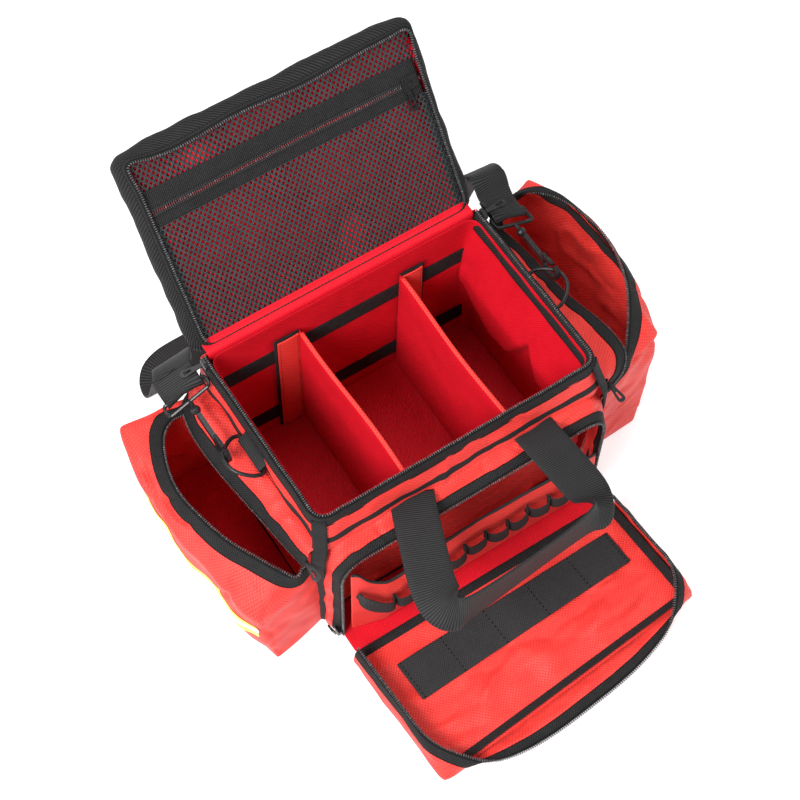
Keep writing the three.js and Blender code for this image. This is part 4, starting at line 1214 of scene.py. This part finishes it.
def shoulder_strap():
    """The carrying strap, from the left ring down behind the bag, along the table, up to the right ring."""
    slope = math.radians(STRAP_SLOPE)
    left, right = (math.cos(slope), 0, math.sin(slope)), (-math.cos(slope), 0, math.sin(slope))
    stations = [
        ((-208, 104.7, 214), left), ((-207, 122, 216), left), ((-196, 150, 196), (1, 0, 0.2)),
        ((-186, 176, 130), (1, 0, 0)), ((-184, 201, 62), (1, 0, 0)), ((-184, 216, 22), (1, 0, 0)),
        ((-184, 228, 6), (1, -0.1, 0)), ((-180, 241, 2.4), (0.93, -0.37, 0)),
        ((-168, 251, 2.4), (0.6, -0.8, 0)), ((-140, 255, 2.4), (0.1, -1, 0)),
        ((-50, 254, 2.4), (0, -1, 0)), ((50, 254, 2.4), (0, -1, 0)), ((142, 255, 2.4), (-0.1, -1, 0)),
        ((170, 251, 2.4), (-0.6, -0.8, 0)), ((187, 241, 2.4), (-0.93, -0.37, 0)),
        ((192, 228, 6), (-1, -0.1, 0)), ((194, 216, 24), (-1, 0, 0)), ((198, 202, 80), (-1, 0, 0)),
        ((202, 188, 140), (-1, 0, 0)), ((206, 168, 214), (-1, 0, 0.1)), ((207, 144, 240), (-1, 0, 0.3)),
        ((208, 124, 223), right), ((208, 106.7, 216), right),
    ]
    place(strap("shoulder_strap_webbing", stations, WEB, WEBBING), "root", "black_webbing", "shoulder_strap")
    for name, side in (("left", -1), ("right", 1)):
        across = left if side < 0 else right
        hem = [((side * 208, y, z), across) for y, z in ((128, 214), (114, 209.5), (102, 210.5), (96.5, 214),
                                                         (101, 218.5), (112, 219.5), (122, 221))]
        place(strap(f"{name}_strap_hem", hem, WEB - 2, WEBBING, 2.2, 2), "root", "black_webbing")


HANDLE_LEGS = (-65, 85)


def handle(name, left_lean, right_lean, left_reach, right_reach, lift, turn):
    """A carrying handle: flat legs that twist into a grip standing on edge."""
    left, right = HANDLE_LEGS
    root = pivot(f"{name}_swing")
    table = [
        ((left, 0, 0), (1, 0, 0)),
        ((left + left_lean * 0.45, -0.35 * left_reach, lift * 0.3), (1, 0, 0)),
        ((left + left_lean * 0.9, -0.75 * left_reach, lift * 0.6), (1, 0.1, 0.1)),
        ((left + left_lean + 6, -0.95 * left_reach, lift * 0.9), (0.5, 0.4, 0.75)),
        ((left + left_lean + 26, -left_reach, lift), (0, 0.1, 1)),
        (((left + right) / 2, -(left_reach + right_reach) / 2, lift), (0, 0, 1)),
        ((right + right_lean - 22, -right_reach, lift), (0, 0.1, 1)),
        ((right + right_lean - 4, -0.95 * right_reach, lift * 0.9), (-0.5, 0.4, 0.75)),
        ((right + right_lean * 0.9, -0.75 * right_reach, lift * 0.6), (-1, 0.1, 0.1)),
        ((right + right_lean * 0.45, -0.35 * right_reach, lift * 0.3), (-1, 0, 0)),
        ((right, 0, 0), (-1, 0, 0)),
    ]
    stations = [(turn @ np.array(at, float) + root, turn @ np.array(across, float)) for at, across in table]
    place(strap(f"{name}_webbing", stations, WEB, WEBBING, WEB_THICK, 3), name, "black_webbing", name)


def handles():
    as_is = np.eye(3)
    hanging = np.array([(-1, 0, 0), (0, 0, 1), (0, 1, 0)], float)
    handle("front_handle", -46, 4, 143, 131, 14, as_is)
    handle("rear_handle", 0, 0, 141, 141, 26, hanging)


# ---------------------------------------------------------------- studio

def studio():
    """A white floor that glows a little, as on a light table, and soft lamps, the key light on the left."""
    floor_grid = level_grid((-4000, 4000), (-4000, 4000), -0.4, 3, 3)
    white = bpy.data.materials.new("studio_white")
    white.use_nodes = True
    shader = white.node_tree.nodes["Principled BSDF"]
    shader.inputs["Base Color"].default_value = (0.6, 0.6, 0.6, 1)
    shader.inputs["Roughness"].default_value = 0.9
    shader.inputs["Emission Color"].default_value = (1, 1, 1, 1)
    shader.inputs["Emission Strength"].default_value = 0.62
    floor = mesh_piece("studio_floor", floor_grid.reshape(-1, 3), grid_faces(3, 3), white)
    world = bpy.data.worlds.new("studio_world")
    world.use_nodes = True
    world.node_tree.nodes["Background"].inputs[0].default_value = (1, 1, 1, 1)
    world.node_tree.nodes["Background"].inputs[1].default_value = 0.42
    bpy.context.scene.world = world
    for name, place_at, size, power in (("key", (-1.6, -0.7, 1.9), 1.0, 84),
                                        ("fill", (1.6, -0.6, 1.8), 1.8, 14),
                                        ("top", (0.1, 0.9, 2.4), 1.4, 26)):
        data = bpy.data.lights.new(name, "AREA")
        data.size = size
        data.energy = power
        lamp = bpy.data.objects.new(name, data)
        lamp.location = place_at
        lamp.rotation_mode = "QUATERNION"
        lamp.rotation_quaternion = (-Vector(place_at)).to_track_quat("-Z", "Y")
        bpy.context.scene.collection.objects.link(lamp)
    bpy.context.scene.view_settings.view_transform = "Standard"


# ---------------------------------------------------------------- assembly

make_camera()
outer_walls()
rim_zip()
corner_bindings()
rear_wall()
base_cloth()
lining()
loop_strips()
divider("left", -1)
divider("right", 1)
lid_shell()
lid_panel()
netting("lid_net_lower", 9, 150, "lid_mesh_lower")
netting("lid_net_upper", 183, LID_LONG, "lid_mesh_upper")
mesh_pocket_zip()
lid_lining()
lid_hinge_cloth()
front_pocket()
front_pocket_floor()
organiser()
flap()
for side_name, side_sign in (("left", -1), ("right", 1)):
    side_pocket(side_name, side_sign)
    hardware(side_name, side_sign)
cad_metal()
shoulder_strap()
handles()
studio()
